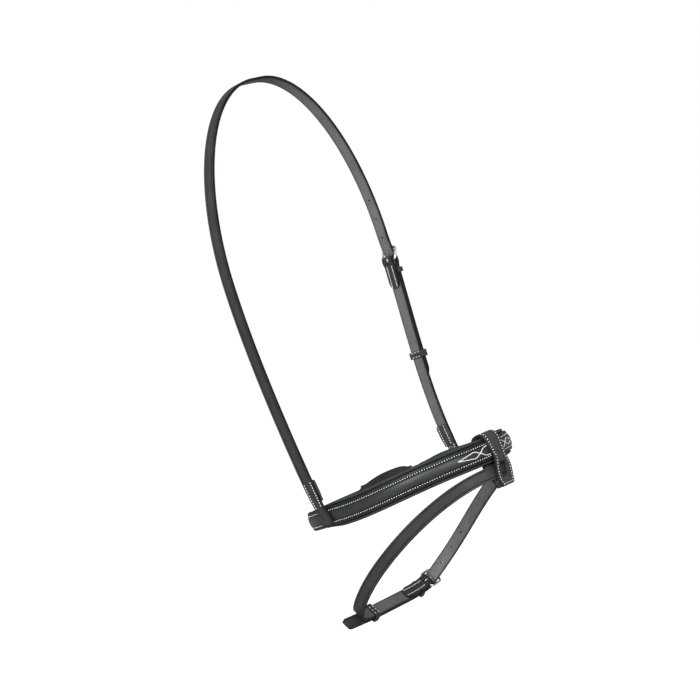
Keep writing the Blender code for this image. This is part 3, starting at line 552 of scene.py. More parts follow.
def bare_finish(name, colour):
    """The inner side of the leather: rough, almost without sheen, dark at its edges."""
    return leather_finish(name, colour, FLESH_DYE, pore=0.45, wrinkle=0.9, sheen=0.05,
                          sheen_blur=0.6)


DYE_COLOUR = (0.028, 0.028, 0.029)
dyed = leather_finish("dyed_leather", DYE_COLOUR)
flesh = bare_finish("bare_inner_leather", (0.094, 0.094, 0.096))


def sweep(height):
    """How far forwards a cheek lies at this height above the T line. It is mostly below 0."""
    share = np.maximum(height, 0.0) / BOW_HEIGHT
    return CHEEK_LEAN * share - CHEEK_BOW * np.sin(math.pi * share ** CHEEK_BOW_POWER)


T_LINE = Vector((-float(sweep(DROP)), 0.0, HALF_LEATHER - DROP))
CHEEK_OUT = HALF_WIDTH + FACING_FACE + SEAM + HALF_LEATHER


def cheek_line():
    """Up the right cheek, over the poll and down the left one."""
    heights = np.linspace(-TAB_LENGTH, CHEEK_HEIGHT, 100)
    lean = CHEEK_SPREAD * eased((heights - SPREAD_START) / (CHEEK_HEIGHT - SPREAD_START))
    outward = CHEEK_OUT + lean
    angles = np.linspace(0.0, math.pi / 2, 80)[1:]
    arch = CHEEK_HEIGHT + (DROP - CHEEK_HEIGHT) * np.sin(angles)
    span = CHEEK_OUT + CHEEK_SPREAD - POLL_FLAT / 2
    heights = np.concatenate([heights, arch])
    outward = np.concatenate([outward, POLL_FLAT / 2 + span * np.cos(angles)])
    points = np.stack([sweep(heights), -outward, heights], axis=-1) + np.array(T_LINE)
    return np.vstack([points, (points * (1.0, -1.0, 1.0))[::-1]])


sliphead_course = Course(cheek_line(), (-1.0, 0.0, 0.0))
half_count = len(sliphead_course.points) // 2


def cheek_length(height):
    """Length of the sliphead up to this height above the T line, on the right."""
    return float(np.interp(T_LINE.z + height, sliphead_course.points[:half_count, 2],
                           sliphead_course.lengths[:half_count]))


def stations_for(length, step=0.003, ends=(0.0004, 0.0012, 0.0024, 0.004, 0.006)):
    """Places along a strap, closer together at both ends."""
    inner = np.arange(ends[-1] + step / 2, length - ends[-1], step)
    return np.concatenate([[0.0], ends, inner, length - np.array(ends[::-1]), [length]])


HOLE = 0.0010               # radius
HOLE_SPACING = 0.020
PLAIN_HOLE = (1.3, 1.0)     # how far it is stretched along and across
TONGUE_HOLE = (2.5, 1.2)    # and the one that the tongue is in


def hole_reach():
    """Where the tongue passes through the billet, in front of the bar."""
    clear = WIRE + BAR_SLACK + TONGUE
    fall = (OVER_BAR - DIP) / (BUCKLE_REACH * math.cos(FRAME_TILT))
    start = BAR_LEVEL + clear / math.cos(FRAME_TILT)
    return (OVER_BAR - start) / (fall + math.tan(FRAME_TILT))


def cut_away(piece, tool):
    """Cuts the tool's shape out of a piece. The tool is then put away."""
    work(piece, "BOOLEAN", object=tool, solver="EXACT")
    bpy.data.objects.remove(tool)


def punch(piece, fold, steps, spacing, lap=0.0, offset=0.0):
    """Punches slightly long holes through a strap on the bench, so many steps from the
    tongue. Where the fold is only part of the strap, the offset says where it starts."""
    pins = []
    bpy.ops.object.select_all(action="DESELECT")
    for step in steps:
        place = offset + fold.own_length(hole_reach() + step * spacing - lap)
        bpy.ops.mesh.primitive_cylinder_add(vertices=20, radius=HOLE, depth=4 * LEATHER,
                                            location=(place, 0.0, 0.0))
        stretch = PLAIN_HOLE if step else TONGUE_HOLE
        bpy.context.object.scale = (*stretch, 1.0)
        pins.append(bpy.context.object)
    pick(pins[0])
    for pin in pins:
        pin.select_set(True)
    bpy.ops.object.join()
    bpy.ops.object.transform_apply(location=True, rotation=True, scale=True)
    cut_away(piece, bpy.context.object)


crown_place = sliphead_course.length - cheek_length(CROWN_BAR)
crown_site = Site(sliphead_course, crown_place, facing=-1)
crown_fold = Fold(billet_fold(CROWN_TIP, crown_place))
crown_length = crown_fold.lengths[-1]
crown_tip_half = rounded_tip(SLIPHEAD_WIDTH)
crown_end_half = t_end(crown_length)
crown_strap = cut_leather(
    "crown_strap_leather", stations_for(crown_length),
    lambda along: np.minimum(crown_tip_half(along), crown_end_half(along)),
    strap_top, strap_bottom)
mark_inside(crown_strap)
punch(crown_strap, crown_fold, range(-2, 4), HOLE_SPACING)
crown_site.lay(crown_strap, crown_fold)
finish_piece(crown_strap, "sliphead", ["crown_strap"], finishes=(dyed, flesh))


# Left cheek strap. The same leather, from the left T joint up to the buckle, where it is
# folded round the bar and sewn back on itself. The slot in the fold is for the tongue.
CHAPE = 0.029               # the part that is folded back
CHAPE_SOFT = 0.0012         # how far its bends are rounded off
BEND_STATION = 0.0007
TONGUE_SLOT = (0.01848, 0.0027, 4 * LEATHER)


def chape_fold(far_end, chape):
    """From the far end to the bar, round it, and back along the inside."""
    points = [(far_end, 0.0), (-RAMP, 0.0)] + ramp((-RAMP, 0.0), (0.0, BAR_LEVEL + FOLD))
    for angle in np.linspace(math.pi / 2, -math.pi / 2, 24)[1:]:
        points.append((FOLD * math.cos(angle), BAR_LEVEL + FOLD * math.sin(angle)))
    points += ramp((0.0, BAR_LEVEL - FOLD), (-RAMP, -LAYER)) + [(-chape, -LAYER)]
    return points


def bend_stations(length, bend, reach=0.014, step=0.003):
    """Places along a strap that are close together where it goes round a bar."""
    wide = stations_for(length, step)
    fine = np.arange(bend - reach, bend + reach, BEND_STATION)
    return np.sort(np.concatenate([wide[np.abs(wide - bend) > reach], fine]))


cheek_far = crown_place - sliphead_course.length
cheek_fold = Fold(chape_fold(cheek_far, CHAPE), soft=CHAPE_SOFT)
cheek_total = cheek_fold.lengths[-1]


def trimmed(from_end, shares=(0.42, 0.8, 1.0)):
    """The share of a strap's width near a cut end, whose corners are trimmed."""
    return np.interp(from_end, (0.0, 0.002, 0.005), shares)


def cheek_half(along):
    return t_end(0.0)(-along) * trimmed(cheek_total - along)


def add_block(place, size):
    """A block with its place and its size in its mesh."""
    bpy.ops.object.select_all(action="DESELECT")
    bpy.ops.mesh.primitive_cube_add(size=1.0, location=place)
    block = bpy.context.object
    block.scale = size
    bpy.ops.object.transform_apply(location=True, rotation=True, scale=True)
    return block


def cut_slot(piece, fold):
    """Cuts the tongue's slot across the bend of a strap on the bench."""
    cut_away(piece, add_block((fold.bend(), 0.0, 0.0), TONGUE_SLOT))


cheek_strap = cut_leather("left_cheek_leather", bend_stations(cheek_total, cheek_fold.bend()),
                          cheek_half, strap_top, strap_bottom)
mark_inside(cheek_strap)
cut_slot(cheek_strap, cheek_fold)
crown_site.lay(cheek_strap, cheek_fold)
finish_piece(cheek_strap, "sliphead", ["left_cheek_strap"], finishes=(dyed, flesh))


# T joints. Behind each end of the sliphead lies a short inner leaf. Both are sewn together
# with two rows of white thread, above the neck that leads down to the tab on the noseband.
LEAF_START = TAB_LENGTH + 0.0162
LEAF_END = TAB_LENGTH + 0.038
LEAF_HALF = 0.0056          # half its width at its narrow end
LEAF_FLARE = 0.0009
LEAF_BORDER = 0.0012        # from its end to its first stitch
T_ROW_START = 0.0195
T_ROW_END = 0.0430
T_NECK_END = 0.030
T_ROW_ACROSS = (0.0036, 0.0043)     # from the middle, at its start and past the neck
T_PITCH = 0.0027
THREAD_COLOUR = (0.62, 0.62, 0.61)
THREAD_PROUD = 0.0001       # between the middle of a stitch and the leather's face


def thread_finish():
    """Waxed thread: off-white and twisted, and faintly grey in places."""
    bench = Bench(bpy.data.materials.new("white_thread"))
    twist = noise(bench, 1600.0, 2.0)
    soil = noise(bench, 120.0, 2.0)
    mixed = between(bench, soil, [shade * 0.78 for shade in THREAD_COLOUR], THREAD_COLOUR)
    bench.join(bench.tree.nodes["Principled BSDF"],
               {"Base Color": mixed, "Roughness": soil * 0.2 + 0.55,
                "Normal": relief(bench, twist, 0.5, 0.0003)})
    return bench.owner


white_thread = thread_finish()

bpy.ops.object.select_all(action="DESELECT")
bpy.ops.mesh.primitive_uv_sphere_add(segments=6, ring_count=4, radius=0.5,
                                     rotation=(0.0, math.pi / 2, 0.0))
one_stitch = bpy.context.object
bpy.ops.object.transform_apply(location=True, rotation=True, scale=True)
STITCH_POINTS = np.array([tuple(point.co) for point in one_stitch.data.vertices])
STITCH_FACES = [tuple(face.vertices) for face in one_stitch.data.polygons]
bpy.data.objects.remove(one_stitch)


def new_piece(name, points, edges=(), faces=()):
    mesh = bpy.data.meshes.new(name)
    mesh.from_pydata(points, edges, faces)
    piece = bpy.data.objects.new(name, mesh)
    bpy.context.scene.collection.objects.link(piece)
    return piece


def sew(name, site, spots, body, fold=None, long=0.0019, wide=0.0010, high=0.0009):
    """Copies one stitch to every (along, across, out, turn) spot and lays the row."""
    points = []
    faces = []
    for along, across, out, turn in spots:
        form = STITCH_POINTS * (long, wide, high)
        ahead = form[:, 0] * math.cos(turn) - form[:, 1] * math.sin(turn)
        aside = form[:, 0] * math.sin(turn) + form[:, 1] * math.cos(turn)
        start = len(points) * len(form)
        points.append(np.stack([along + ahead, across + aside, out + form[:, 2]], axis=-1))
        faces += [tuple(start + index for index in face) for face in STITCH_FACES]
    row = new_piece(name, np.vstack(points).tolist(), faces=faces)
    site.lay(row, fold)
    finish_piece(row, body, finishes=(white_thread,), angle=80)


def row_places(start, end, pitch):
    return np.linspace(start, end, max(2, round((end - start) / pitch) + 1))


# Paler towards the edges and on the sides of each leaf: a painted highlight where light falls
# on its side.
LEAF_DYE_AND_PAINTED_EDGE_LIGHT = ((0.0, 0.6), (1.0, 0.75))
leaf_leather = leather_finish("leaf_leather", DYE_COLOUR, LEAF_DYE_AND_PAINTED_EDGE_LIGHT)
for side_name, start, facing in (("right", 0.0, 1), ("left", sliphead_course.length, -1)):
    t_site = Site(sliphead_course, start, facing)
    leaf_length = LEAF_END - LEAF_START
    leaf = cut_leather(
        side_name + "_t_leaf_leather", stations_for(leaf_length, 0.002),
        lambda along: (LEAF_HALF + LEAF_FLARE * eased(2 * along / leaf_length))
        * np.interp(leaf_length - along, (0.0, 0.0015), (0.8, 1.0)),
        strap_top, strap_bottom, edge=0.0008)
    t_site.lay(leaf, Fold([(LEAF_START, -LAYER), (LEAF_END, -LAYER)]))
    finish_piece(leaf, "sliphead", [side_name + "_t_leaf"], finishes=(leaf_leather,))
    spots = []
    for hand in (-1, 1):
        for along in row_places(T_ROW_START, T_ROW_END, T_PITCH):
            across = hand * float(np.interp(along, (T_ROW_START, T_NECK_END), T_ROW_ACROSS))
            inside = -LAYER if along > LEAF_START + LEAF_BORDER else 0.0
            spots.append((along, across, HALF_LEATHER - THREAD_PROUD, 0.0))
            spots.append((along, across * 0.9, inside - HALF_LEATHER - THREAD_PROUD, 0.0))
    sew(side_name + "_t_stitches", t_site, spots, "sliphead", high=0.0008)


# Buckles. Each is a rectangular frame bent from round stainless wire with a plain tongue
# that is curled round its bar. The polish is bright, with fine wear and duller patches.
BUCKLE_SIDE = 0.0008        # room between the strap's edge and the frame
BUCKLE_CORNER = 0.0030
TONGUE_PAST = 0.0012        # how far the tongue reaches past the frame's front
DULL_STEEL = (0.13, 0.13, 0.135)
BRIGHT_STEEL = (0.62, 0.62, 0.61)


def steel_finish():
    bench = Bench(bpy.data.materials.new("polished_steel"))
    wear = noise(bench, 500.0, 4.0)
    haze = noise(bench, 140.0, 2.0)
    bench.join(bench.tree.nodes["Principled BSDF"],
               {"Base Color": between(bench, haze, DULL_STEEL, BRIGHT_STEEL),
                "Metallic": 1.0, "Roughness": wear * 0.22 + 0.12,
                "Normal": relief(bench, wear, 0.12, 0.0002)})
    return bench.owner


steel = steel_finish()


def new_line(name, points):
    """A piece that is only a line through these points, to be made into wire or thread."""
    steps = [(index, index + 1) for index in range(len(points) - 1)]
    return new_piece(name, points, edges=steps)


def bend_wire(piece, radius, matrix, sides=4):
    """Turns a piece's edges into round wire and puts it in its place."""
    pick(piece)
    bpy.ops.object.convert(target="CURVE")
    piece.data.bevel_depth = radius
    piece.data.bevel_resolution = sides
    piece.data.use_fill_caps = True
    bpy.ops.object.convert(target="MESH")
    piece.data.transform(matrix)
    piece.data.update()


def finish_wire(piece, node):
    finish_piece(piece, node, [node], finishes=(steel,), angle=60)


def make_buckle(prefix, site, width):
    bar = (site.matrix(0.0) @ Matrix.Translation((0.0, 0.0, BAR_LEVEL))
           @ Matrix.Rotation(-FRAME_TILT, 4, "Y"))
    half = width / 2 + BUCKLE_SIDE + WIRE
    bpy.ops.object.select_all(action="DESELECT")
    bpy.ops.mesh.primitive_plane_add(size=1.0, location=(BUCKLE_REACH / 2, 0.0, 0.0))
    rim = bpy.context.object
    rim.name = prefix + "_frame_wire"
    rim.scale = (BUCKLE_REACH, 2 * half, 1.0)
    bpy.ops.object.transform_apply(location=True, rotation=True, scale=True)
    work(rim, "BEVEL", affect="VERTICES", width=BUCKLE_CORNER, segments=6)
    bpy.ops.object.mode_set(mode="EDIT")
    bpy.ops.mesh.select_all(action="SELECT")
    bpy.ops.mesh.delete(type="ONLY_FACE")
    bpy.ops.object.mode_set(mode="OBJECT")
    bend_wire(rim, WIRE, bar)
    finish_wire(rim, prefix + "_frame")

    clear = WIRE + BAR_SLACK + TONGUE
    curl = np.linspace(-math.pi / 3, -3 * math.pi / 2, 22)
    pin = [(clear * math.cos(angle), 0.0, clear * math.sin(angle)) for angle in curl]
    pin += [(share * (BUCKLE_REACH + TONGUE_PAST), 0.0, clear)
            for share in np.linspace(0.15, 1.0, 8)]
    tongue = new_line(prefix + "_tongue_wire", pin)
    bend_wire(tongue, TONGUE, bar)
    finish_wire(tongue, prefix + "_tongue")


make_buckle("crown_buckle", crown_site, SLIPHEAD_WIDTH)


# Keepers. Narrow leather loops that hold the billet down: one sewn beside the buckle, one
# that slides. The sliding one has two short rows of white stitches on its inner face.
SLIP = 0.00035              # room round the straps
KEEPER_WALL = 0.0015
KEEPER_ROUND = KEEPER_WALL * 0.42
KEEPER_LENGTH = 0.0052
SLIDING_LENGTH = 0.0070
FIXED_KEEPER = 0.0118       # behind the bar
CROWN_KEEPER = 0.100
KEEPER_SEAM = (0.33, 0.31)  # its stitches, in shares of its length and the strap's width
CHAPE_SEAM = (0.0015, 0.0068)       # how far its stitches stop short of its end and the bar
CHAPE_SEAM_ACROSS = 0.0033


def make_keeper(name, node, site, place, length, width, low, high, body, floor=KEEPER_WALL,
                seam=None, stitched=False):
    """A loop round a stack of straps that lies between low and high. With a seam, its two
    ends stop there instead, where they are sewn in between the strap's leaves."""
    side_room = width / 2 + SLIP
    bottom = low - SLIP - floor
    top = high + SLIP + KEEPER_WALL
    middle = (top + bottom) / 2
    loop = add_block((0.0, 0.0, middle),
                     (length, 2 * (side_room + KEEPER_WALL), top - bottom))
    loop.name = name
    bpy.ops.object.mode_set(mode="EDIT")
    bpy.ops.mesh.select_mode(type="FACE")
    bpy.ops.object.mode_set(mode="OBJECT")
    for face in loop.data.polygons:
        face.select = abs(face.normal.x) > 0.5
    bpy.ops.object.mode_set(mode="EDIT")
    bpy.ops.mesh.inset(thickness=KEEPER_WALL)
    bpy.ops.mesh.bridge_edge_loops()
    if seam is not None:
        bpy.ops.mesh.select_all(action="SELECT")
        bpy.ops.mesh.bisect(plane_co=(0.0, 0.0, seam), plane_no=(0.0, 0.0, 1.0),
                            clear_inner=True, use_fill=True)
    bpy.ops.object.mode_set(mode="OBJECT")
    for point in loop.data.vertices:
        inner = abs(point.co.y) < side_room + KEEPER_WALL / 2
        if inner and point.co.z < middle:
            point.co.z += floor - KEEPER_WALL
    work(loop, "BEVEL", width=KEEPER_ROUND, segments=3, limit_method="ANGLE",
         angle_limit=ROUND_ANGLE)
    loop.data.transform(site.matrix(place))
    loop.data.update()
    finish_piece(loop, body, [node], finishes=(dyed,))
    if stitched:
        ahead, aside = length * KEEPER_SEAM[0], width * KEEPER_SEAM[1]
        spots = [(along, across, bottom - THREAD_PROUD, math.pi / 2)
                 for along in (-ahead, ahead) for across in (-aside, 0.0, aside)]
        underside = Site(Course([site.matrix(place) @ Vector((x, 0.0, 0.0))
                                 for x in (-length, 0.0, length)],
                                site.matrix(place).to_3x3().col[1]), length)
        sew(name + "_stitches", underside, spots, body, long=0.0028)


def make_keepers(prefix, site, width, body, sliding_place):
    """Both keepers of one buckle, round the billet and what lies under it there."""
    make_keeper(prefix + "_fixed_loop", prefix + "_fixed_keeper", site, -FIXED_KEEPER,
                KEEPER_LENGTH, width, -LAYER - HALF_LEATHER, LAYER + HALF_LEATHER, body,
                seam=-LAYER / 2)
    make_keeper(prefix + "_sliding_loop", prefix + "_sliding_keeper", site, -sliding_place,
                SLIDING_LENGTH, width, -HALF_LEATHER, LAYER + HALF_LEATHER,
                prefix + "_sliding_keeper", stitched=True)


def two_rows(start, end, across, out, pitch=0.0024):
    """Two rows of stitches, one on each side of the middle."""
    return [(along, side, out, 0.0) for side in (-across, across)
            for along in row_places(start, end, pitch)]


def chape_rows(chape):
    """The rows that sew a strap's folded end to its inner face."""
    return two_rows(CHAPE_SEAM[0] - chape, -CHAPE_SEAM[1], CHAPE_SEAM_ACROSS,
                    -LAYER - HALF_LEATHER - THREAD_PROUD)


make_keepers("crown", crown_site, SLIPHEAD_WIDTH, "sliphead", CROWN_KEEPER)
sew("crown_chape_stitches", crown_site, chape_rows(CHAPE), "sliphead", long=0.0022)


# Noseband backing. The flat strap that carries everything round the nose: 19 mm bridle
# leather from behind the right T joint round the nose to the buckle on the left.
NOSE_REACH = 0.1317         # from the T line to the front of the nose
CHIN_REACH = 0.0773         # and back to the chin
NOSE_NARROWING = 0.10
NOSE_TILT = math.radians(3.7)
NOSE_RISE = 0.0093
RISE_START_SHARE = 0.10
CHIN_FALL = 0.0040
BAND_WIDTH = 0.019
BACKING_TAIL = 0.044        # past the right T joint
CHIN_BAR = 0.082            # past the left one
CHIN_CHAPE = 0.022


def band_line():
    turns = np.linspace(0.0, math.tau, 720, endpoint=False)
    reach = -np.cos(turns)
    front = np.maximum(reach, 0.0)
    forward = np.where(reach < 0, CHIN_REACH, NOSE_REACH) * reach
    width = -np.sin(turns) * (1.0 - NOSE_NARROWING * front * front)
    height = np.where(reach < 0, CHIN_FALL * reach, NOSE_RISE * eased(
        (reach - RISE_START_SHARE) / (1.0 - RISE_START_SHARE)))
    return np.stack([forward, HALF_WIDTH * width, height], axis=-1) + np.array(T_LINE)


band_course = Course(band_line(), (-math.sin(NOSE_TILT), 0.0, math.cos(NOSE_TILT)),
                     closed=True)
quarter = (len(band_course.lengths) - 1) // 4
right_t, nose_place, left_t = (float(band_course.lengths[turn * quarter])
                               for turn in (1, 2, 3))
chin_place = left_t + CHIN_BAR
chin_site = Site(band_course, chin_place)
backing_start = right_t - BACKING_TAIL - chin_place
backing_fold = Fold(chape_fold(backing_start, CHIN_CHAPE), soft=CHAPE_SOFT)
backing_total = backing_fold.lengths[-1]
backing = cut_leather(
    "backing_leather", bend_stations(backing_total, backing_fold.bend()),
    lambda along: BAND_WIDTH / 2 * trimmed(backing_total - along, (0.5, 0.85, 1.0)),
    strap_top, strap_bottom)
mark_inside(backing)
cut_slot(backing, backing_fold)
chin_site.lay(backing, backing_fold)
finish_piece(backing, "noseband", ["noseband_backing"], finishes=(dyed, flesh))


# Raised facing. Smooth leather pressed over a rounded cord of felt, so that it stands up
# between two thin borders. White thread runs along both feet of the raised part.
FACING_WIDTH = 0.0183
FACING_TAIL = 0.034         # past the left T joint
FACING_SHARES = (0.0, 0.17, 0.34, 0.46, 0.54, 0.585, 0.615, 0.645, 0.675, 0.71, 0.78, 0.88,
                 0.95, 1.0)
FACING_HEIGHTS = (FACING_RISE, 0.00354, 0.00332, 0.00302, 0.00266, 0.00232, 0.00206,
                  0.00200, 0.00208, 0.00214, 0.00204, 0.00178, 0.00158, 0.0013)
FACING_ROUND = 0.0003
FACING_SEAM_SHARE = 0.645   # where the stitches lie, of half the width
FACING_SEAM_LIFT = 0.0003
FACING_SEAM_INSET = 0.004


def facing_top(along, share):
    return FACING_BACK + np.interp(np.abs(share), FACING_SHARES, FACING_HEIGHTS)


facing_start = backing_start
facing_end = left_t + FACING_TAIL - chin_place
facing_length = facing_end - facing_start
# Across the facing: paler on the raised middle as a painted highlight, dark in the grooves
# along the stitch rows as painted shade, and paler again on the borders.
FACING_DYE_AND_PAINTED_LIGHT = ((0.0, 0.70), (0.42, 0.58), (0.54, 0.22), (0.62, 0.05), (0.68, 0.05),
              (0.78, 0.42), (0.94, 0.30))
facing_leather = leather_finish("raised_facing_leather", (0.012, 0.0126, 0.013), FACING_DYE_AND_PAINTED_LIGHT,
                                pore=0.14, wrinkle=0.30, sheen=0.50, sheen_blur=0.32)


def facing_half(along):
    from_end = np.minimum(along, facing_length - along)
    return FACING_WIDTH / 2 * np.interp(from_end, (0.0, 0.0015, 0.005), (0.80, 0.93, 1.0))


def facing_surface(along, share):
    """The facing's outer face, which falls off towards both ends."""
    from_end = np.minimum(along, facing_length - along)
    swell = np.interp(from_end, (0.0, 0.002, 0.008), (0.5, 0.75, 1.0))
    return FACING_BACK + (facing_top(along, share) - FACING_BACK) * swell


facing = cut_leather("raised_facing", stations_for(facing_length, 0.0025), facing_half,
                     facing_surface, flat_face(FACING_BACK), both_sides(FACING_SHARES),
                     FACING_ROUND)
chin_site.lay(facing, Fold([(facing_start, 0.0), (facing_end, 0.0)]))
finish_piece(facing, "noseband", ["noseband_facing"],
             finishes=(facing_leather,))

facing_rows = two_rows(
    facing_start + FACING_SEAM_INSET, facing_end - FACING_SEAM_INSET,
    FACING_SEAM_SHARE * FACING_WIDTH / 2,
    float(facing_top(0.0, FACING_SEAM_SHARE)) + FACING_SEAM_LIFT)
sew("facing_stitches", chin_site, facing_rows, "noseband", long=0.0013)


# Fancy stitching. Two thick white threads cross and part again over the middle of the
# nose, as saddlers have long sewn them. Each is couched on the raised facing.
FANCY_GUIDES = (
    # from the middle of the nose, swing to the side
    (-0.0400, 0.0), (-0.0230, 0.0032), (-0.0175, 0.0), (-0.0130, -0.0036),
    (-0.0088, -0.0044), (-0.0045, -0.0036), (0.0, 0.0),
)
FANCY_THREAD = 0.00042      # radius
FANCY_LIFT = 0.6            # of that radius, from the leather to the thread's middle

nose_site = Site(band_course, nose_place)
for thread_name, sign in (("upper", 1.0), ("lower", -1.0)):
    half_line = [(along, sign * swing) for along, swing in FANCY_GUIDES]
    line = Fold(half_line + [(-along, -swing) for along, swing in half_line[-2::-1]],
                soft=0.0026).points[::3]
    points = [(along, across, float(facing_top(0.0, 2 * across / FACING_WIDTH))
               + FANCY_THREAD * FANCY_LIFT) for along, across in line.tolist()]
    fancy = new_line("fancy_thread_" + thread_name, points)
    bend_wire(fancy, FANCY_THREAD, Matrix.Identity(4), sides=2)
    nose_site.lay(fancy)
    finish_piece(fancy, "noseband", finishes=(white_thread,),
                 angle=80)


# Padded lining. Soft leather over foam between the backing and the nose. Its edges roll
# up past the backing on both sides and fade out behind the T joints.
LINING_WIDTH = 0.0248
LINING_THICK = 0.0066
LINING_ROLL = 0.0025        # how far its edges roll up
LINING_TAIL = 0.015         # past the right T joint
LINING_LEFT_TAIL = 0.040
LINING_TAPER = 0.028
LINING_END_SHARE = 0.45     # of its thickness
LINING_EDGE = 0.0004
LINING_NARROWING = 0.0022
LINING_BACK = -FACING_BACK
ROLL_START = (BAND_WIDTH / 2 + SEAM) / (LINING_WIDTH / 2)
ROLL_CREST = 0.35           # where the roll is highest, from the backing outwards
ROLL_FOOT = 0.72            # and how high it already is beside the backing
LINING_ROWS = both_sides((0.0, 0.2, 0.42, 0.62, ROLL_START - 0.015, ROLL_START, 0.83, 0.87,
                          0.915, 0.955, 0.985, 1.0))

lining_start = right_t - LINING_TAIL - chin_place
lining_length = left_t - right_t + LINING_TAIL + LINING_LEFT_TAIL


def lining_fade(along):
    return eased(np.minimum(along, lining_length - along) / LINING_TAPER)


def puffs(along, height, waves, sway, slow_waves, lean=0.0):
    """Uneven ripples, as where soft leather is pulled over foam."""
    return height * np.sin(along * waves + sway * np.sin(along * slow_waves + lean))


def lining_top(along, share):
    past = np.clip((np.abs(share) - ROLL_START) / (1.0 - ROLL_START), 0.0, 1.0)
    climb = ROLL_FOOT + (1.0 - ROLL_FOOT) * np.sin(past / ROLL_CREST * math.pi / 2)
    fall = np.sqrt(np.clip(1.0 - ((past - ROLL_CREST) / (1.0 - ROLL_CREST)) ** 2, 0.0, 1.0))
    rise = np.where(past <= ROLL_CREST, climb, fall)
    rise = np.where(np.abs(share) < ROLL_START - 0.001, 0.0, rise)
    ripple = puffs(along, 0.00012, 410.0, 5.0, 77.0) * (past > 0)
    return LINING_BACK + (LINING_ROLL * rise + ripple) * lining_fade(along)


def lining_bottom(along, share):
    thick = LINING_THICK * (LINING_END_SHARE
                            + (1.0 - LINING_END_SHARE) * lining_fade(along))
    depth = np.clip(1.0 - np.abs(share) ** 4.5, 0.0, 1.0) ** 0.45
    ripple = puffs(along, 0.00018, 260.0, 4.0, 61.0, 3.0 * share)
    return LINING_BACK - LINING_EDGE - (thick - LINING_EDGE) * depth + ripple * depth


EVEN_DYE = ((0.0, 0.5), (1.0, 0.5))
lining_leather = leather_finish("soft_lining_leather", (0.026, 0.032, 0.028), EVEN_DYE,
                                pore=0.35, wrinkle=0.95, sheen=0.10, sheen_blur=0.5)
lining = cut_leather(
    "padded_lining", stations_for(lining_length, 0.0028),
    lambda along: LINING_WIDTH / 2 - (1.0 - lining_fade(along)) * LINING_NARROWING,
    lining_top, lining_bottom, LINING_ROWS, 0.0)
work(lining, "SUBSURF", levels=1, render_levels=1)
chin_site.lay(lining, Fold([(lining_start, 0.0), (lining_start + lining_length, 0.0)]))
finish_piece(lining, "noseband", ["noseband_lining"],
             finishes=(lining_leather,), angle=70)


# Chin strap. A 16.5 mm billet sewn under the right end of the backing. It passes under
# the jaw and through the buckle on the left.
CHIN_WIDTH = 0.0165
CHIN_OVERLAP = 0.026        # sewn under the backing
CHIN_TIP = 0.043            # past the bar
CHIN_KEEPER = 0.030
billet_start = right_t - BACKING_TAIL + CHIN_OVERLAP - chin_place + band_course.length
overlap_end = billet_start - CHIN_OVERLAP
chin_points = billet_fold(CHIN_TIP, overlap_end - 2 * RAMP)
chin_points += ramp((overlap_end - 2 * RAMP, 0.0), (overlap_end - RAMP, -LAYER))
chin_points += [(billet_start, -LAYER)]
chin_fold = Fold(chin_points)
chin_length = chin_fold.lengths[-1]
chin_billet = cut_leather("chin_billet_leather", stations_for(chin_length),
                          rounded_tip(CHIN_WIDTH), strap_top, strap_bottom)
mark_inside(chin_billet)
punch(chin_billet, chin_fold, range(-1, 2), HOLE_SPACING)
chin_site.lay(chin_billet, chin_fold)
finish_piece(chin_billet, "noseband", ["chin_billet"], finishes=(dyed, flesh))
make_buckle("chin_buckle", chin_site, BAND_WIDTH)
make_keepers("chin", chin_site, BAND_WIDTH, "noseband", CHIN_KEEPER)


# Buckle guard pad. A flat cushion of dark suede between the buckle and the jaw, higher at
# its front end. A leather loop on its back holds the strap.
PAD_LENGTH = 0.066
PAD_CENTRE = 0.083          # past the left T joint
PAD_THICK = 0.0085
PAD_HEIGHT = 0.0305
PAD_LOOP = 0.0195           # in front of the bar
PAD_LOOP_LENGTH = 0.008
PAD_ROUNDING = 0.38         # of its back edges, as a share of its thickness
PAD_RIM = 0.42              # thickness of its rim, as such a share
PAD_FLOOR = LAYER + HALF_LEATHER + SLIP + KEEPER_WALL + SEAM
PAD_PLACES = (-1.0, -0.94, -0.82, -0.64, -0.4, -0.12, 0.12, 0.34, 0.56, 0.76, 0.93, 1.0)
PAD_HEIGHTS = (0.62, 0.74, 0.88, 0.97, 1.0, 1.0, 0.97, 0.91, 0.82, 0.73, 0.63, 0.54)
PAD_DEPTHS = (0.60, 0.80, 0.95, 1.0, 1.0, 1.0, 1.0, 1.0, 1.0, 0.95, 0.80, 0.60)
PAD_ROWS = both_sides((0.0, 0.25, 0.5, 0.70, 0.82, 0.90, 0.95, 0.985, 1.0))


def pad_half(along):
    return PAD_HEIGHT / 2 * np.interp(2 * along / PAD_LENGTH - 1, PAD_PLACES, PAD_HEIGHTS)


def pad_depth(along):
    return PAD_THICK * np.interp(2 * along / PAD_LENGTH - 1, PAD_PLACES, PAD_DEPTHS)


def pad_top(along, share):
    past = np.clip((np.abs(share) - 0.8) / 0.2, 0.0, 1.0)
    rounded = 1.0 - np.sqrt(1.0 - past * past)
    return -PAD_FLOOR - pad_depth(along) * PAD_ROUNDING * rounded


def pad_bottom(along, share):
    crown = np.sqrt(np.clip(1.0 - np.abs(share) ** 3.2, 0.0, 1.0))
    return -PAD_FLOOR - pad_depth(along) * (PAD_RIM + (1.0 - PAD_RIM) * crown)


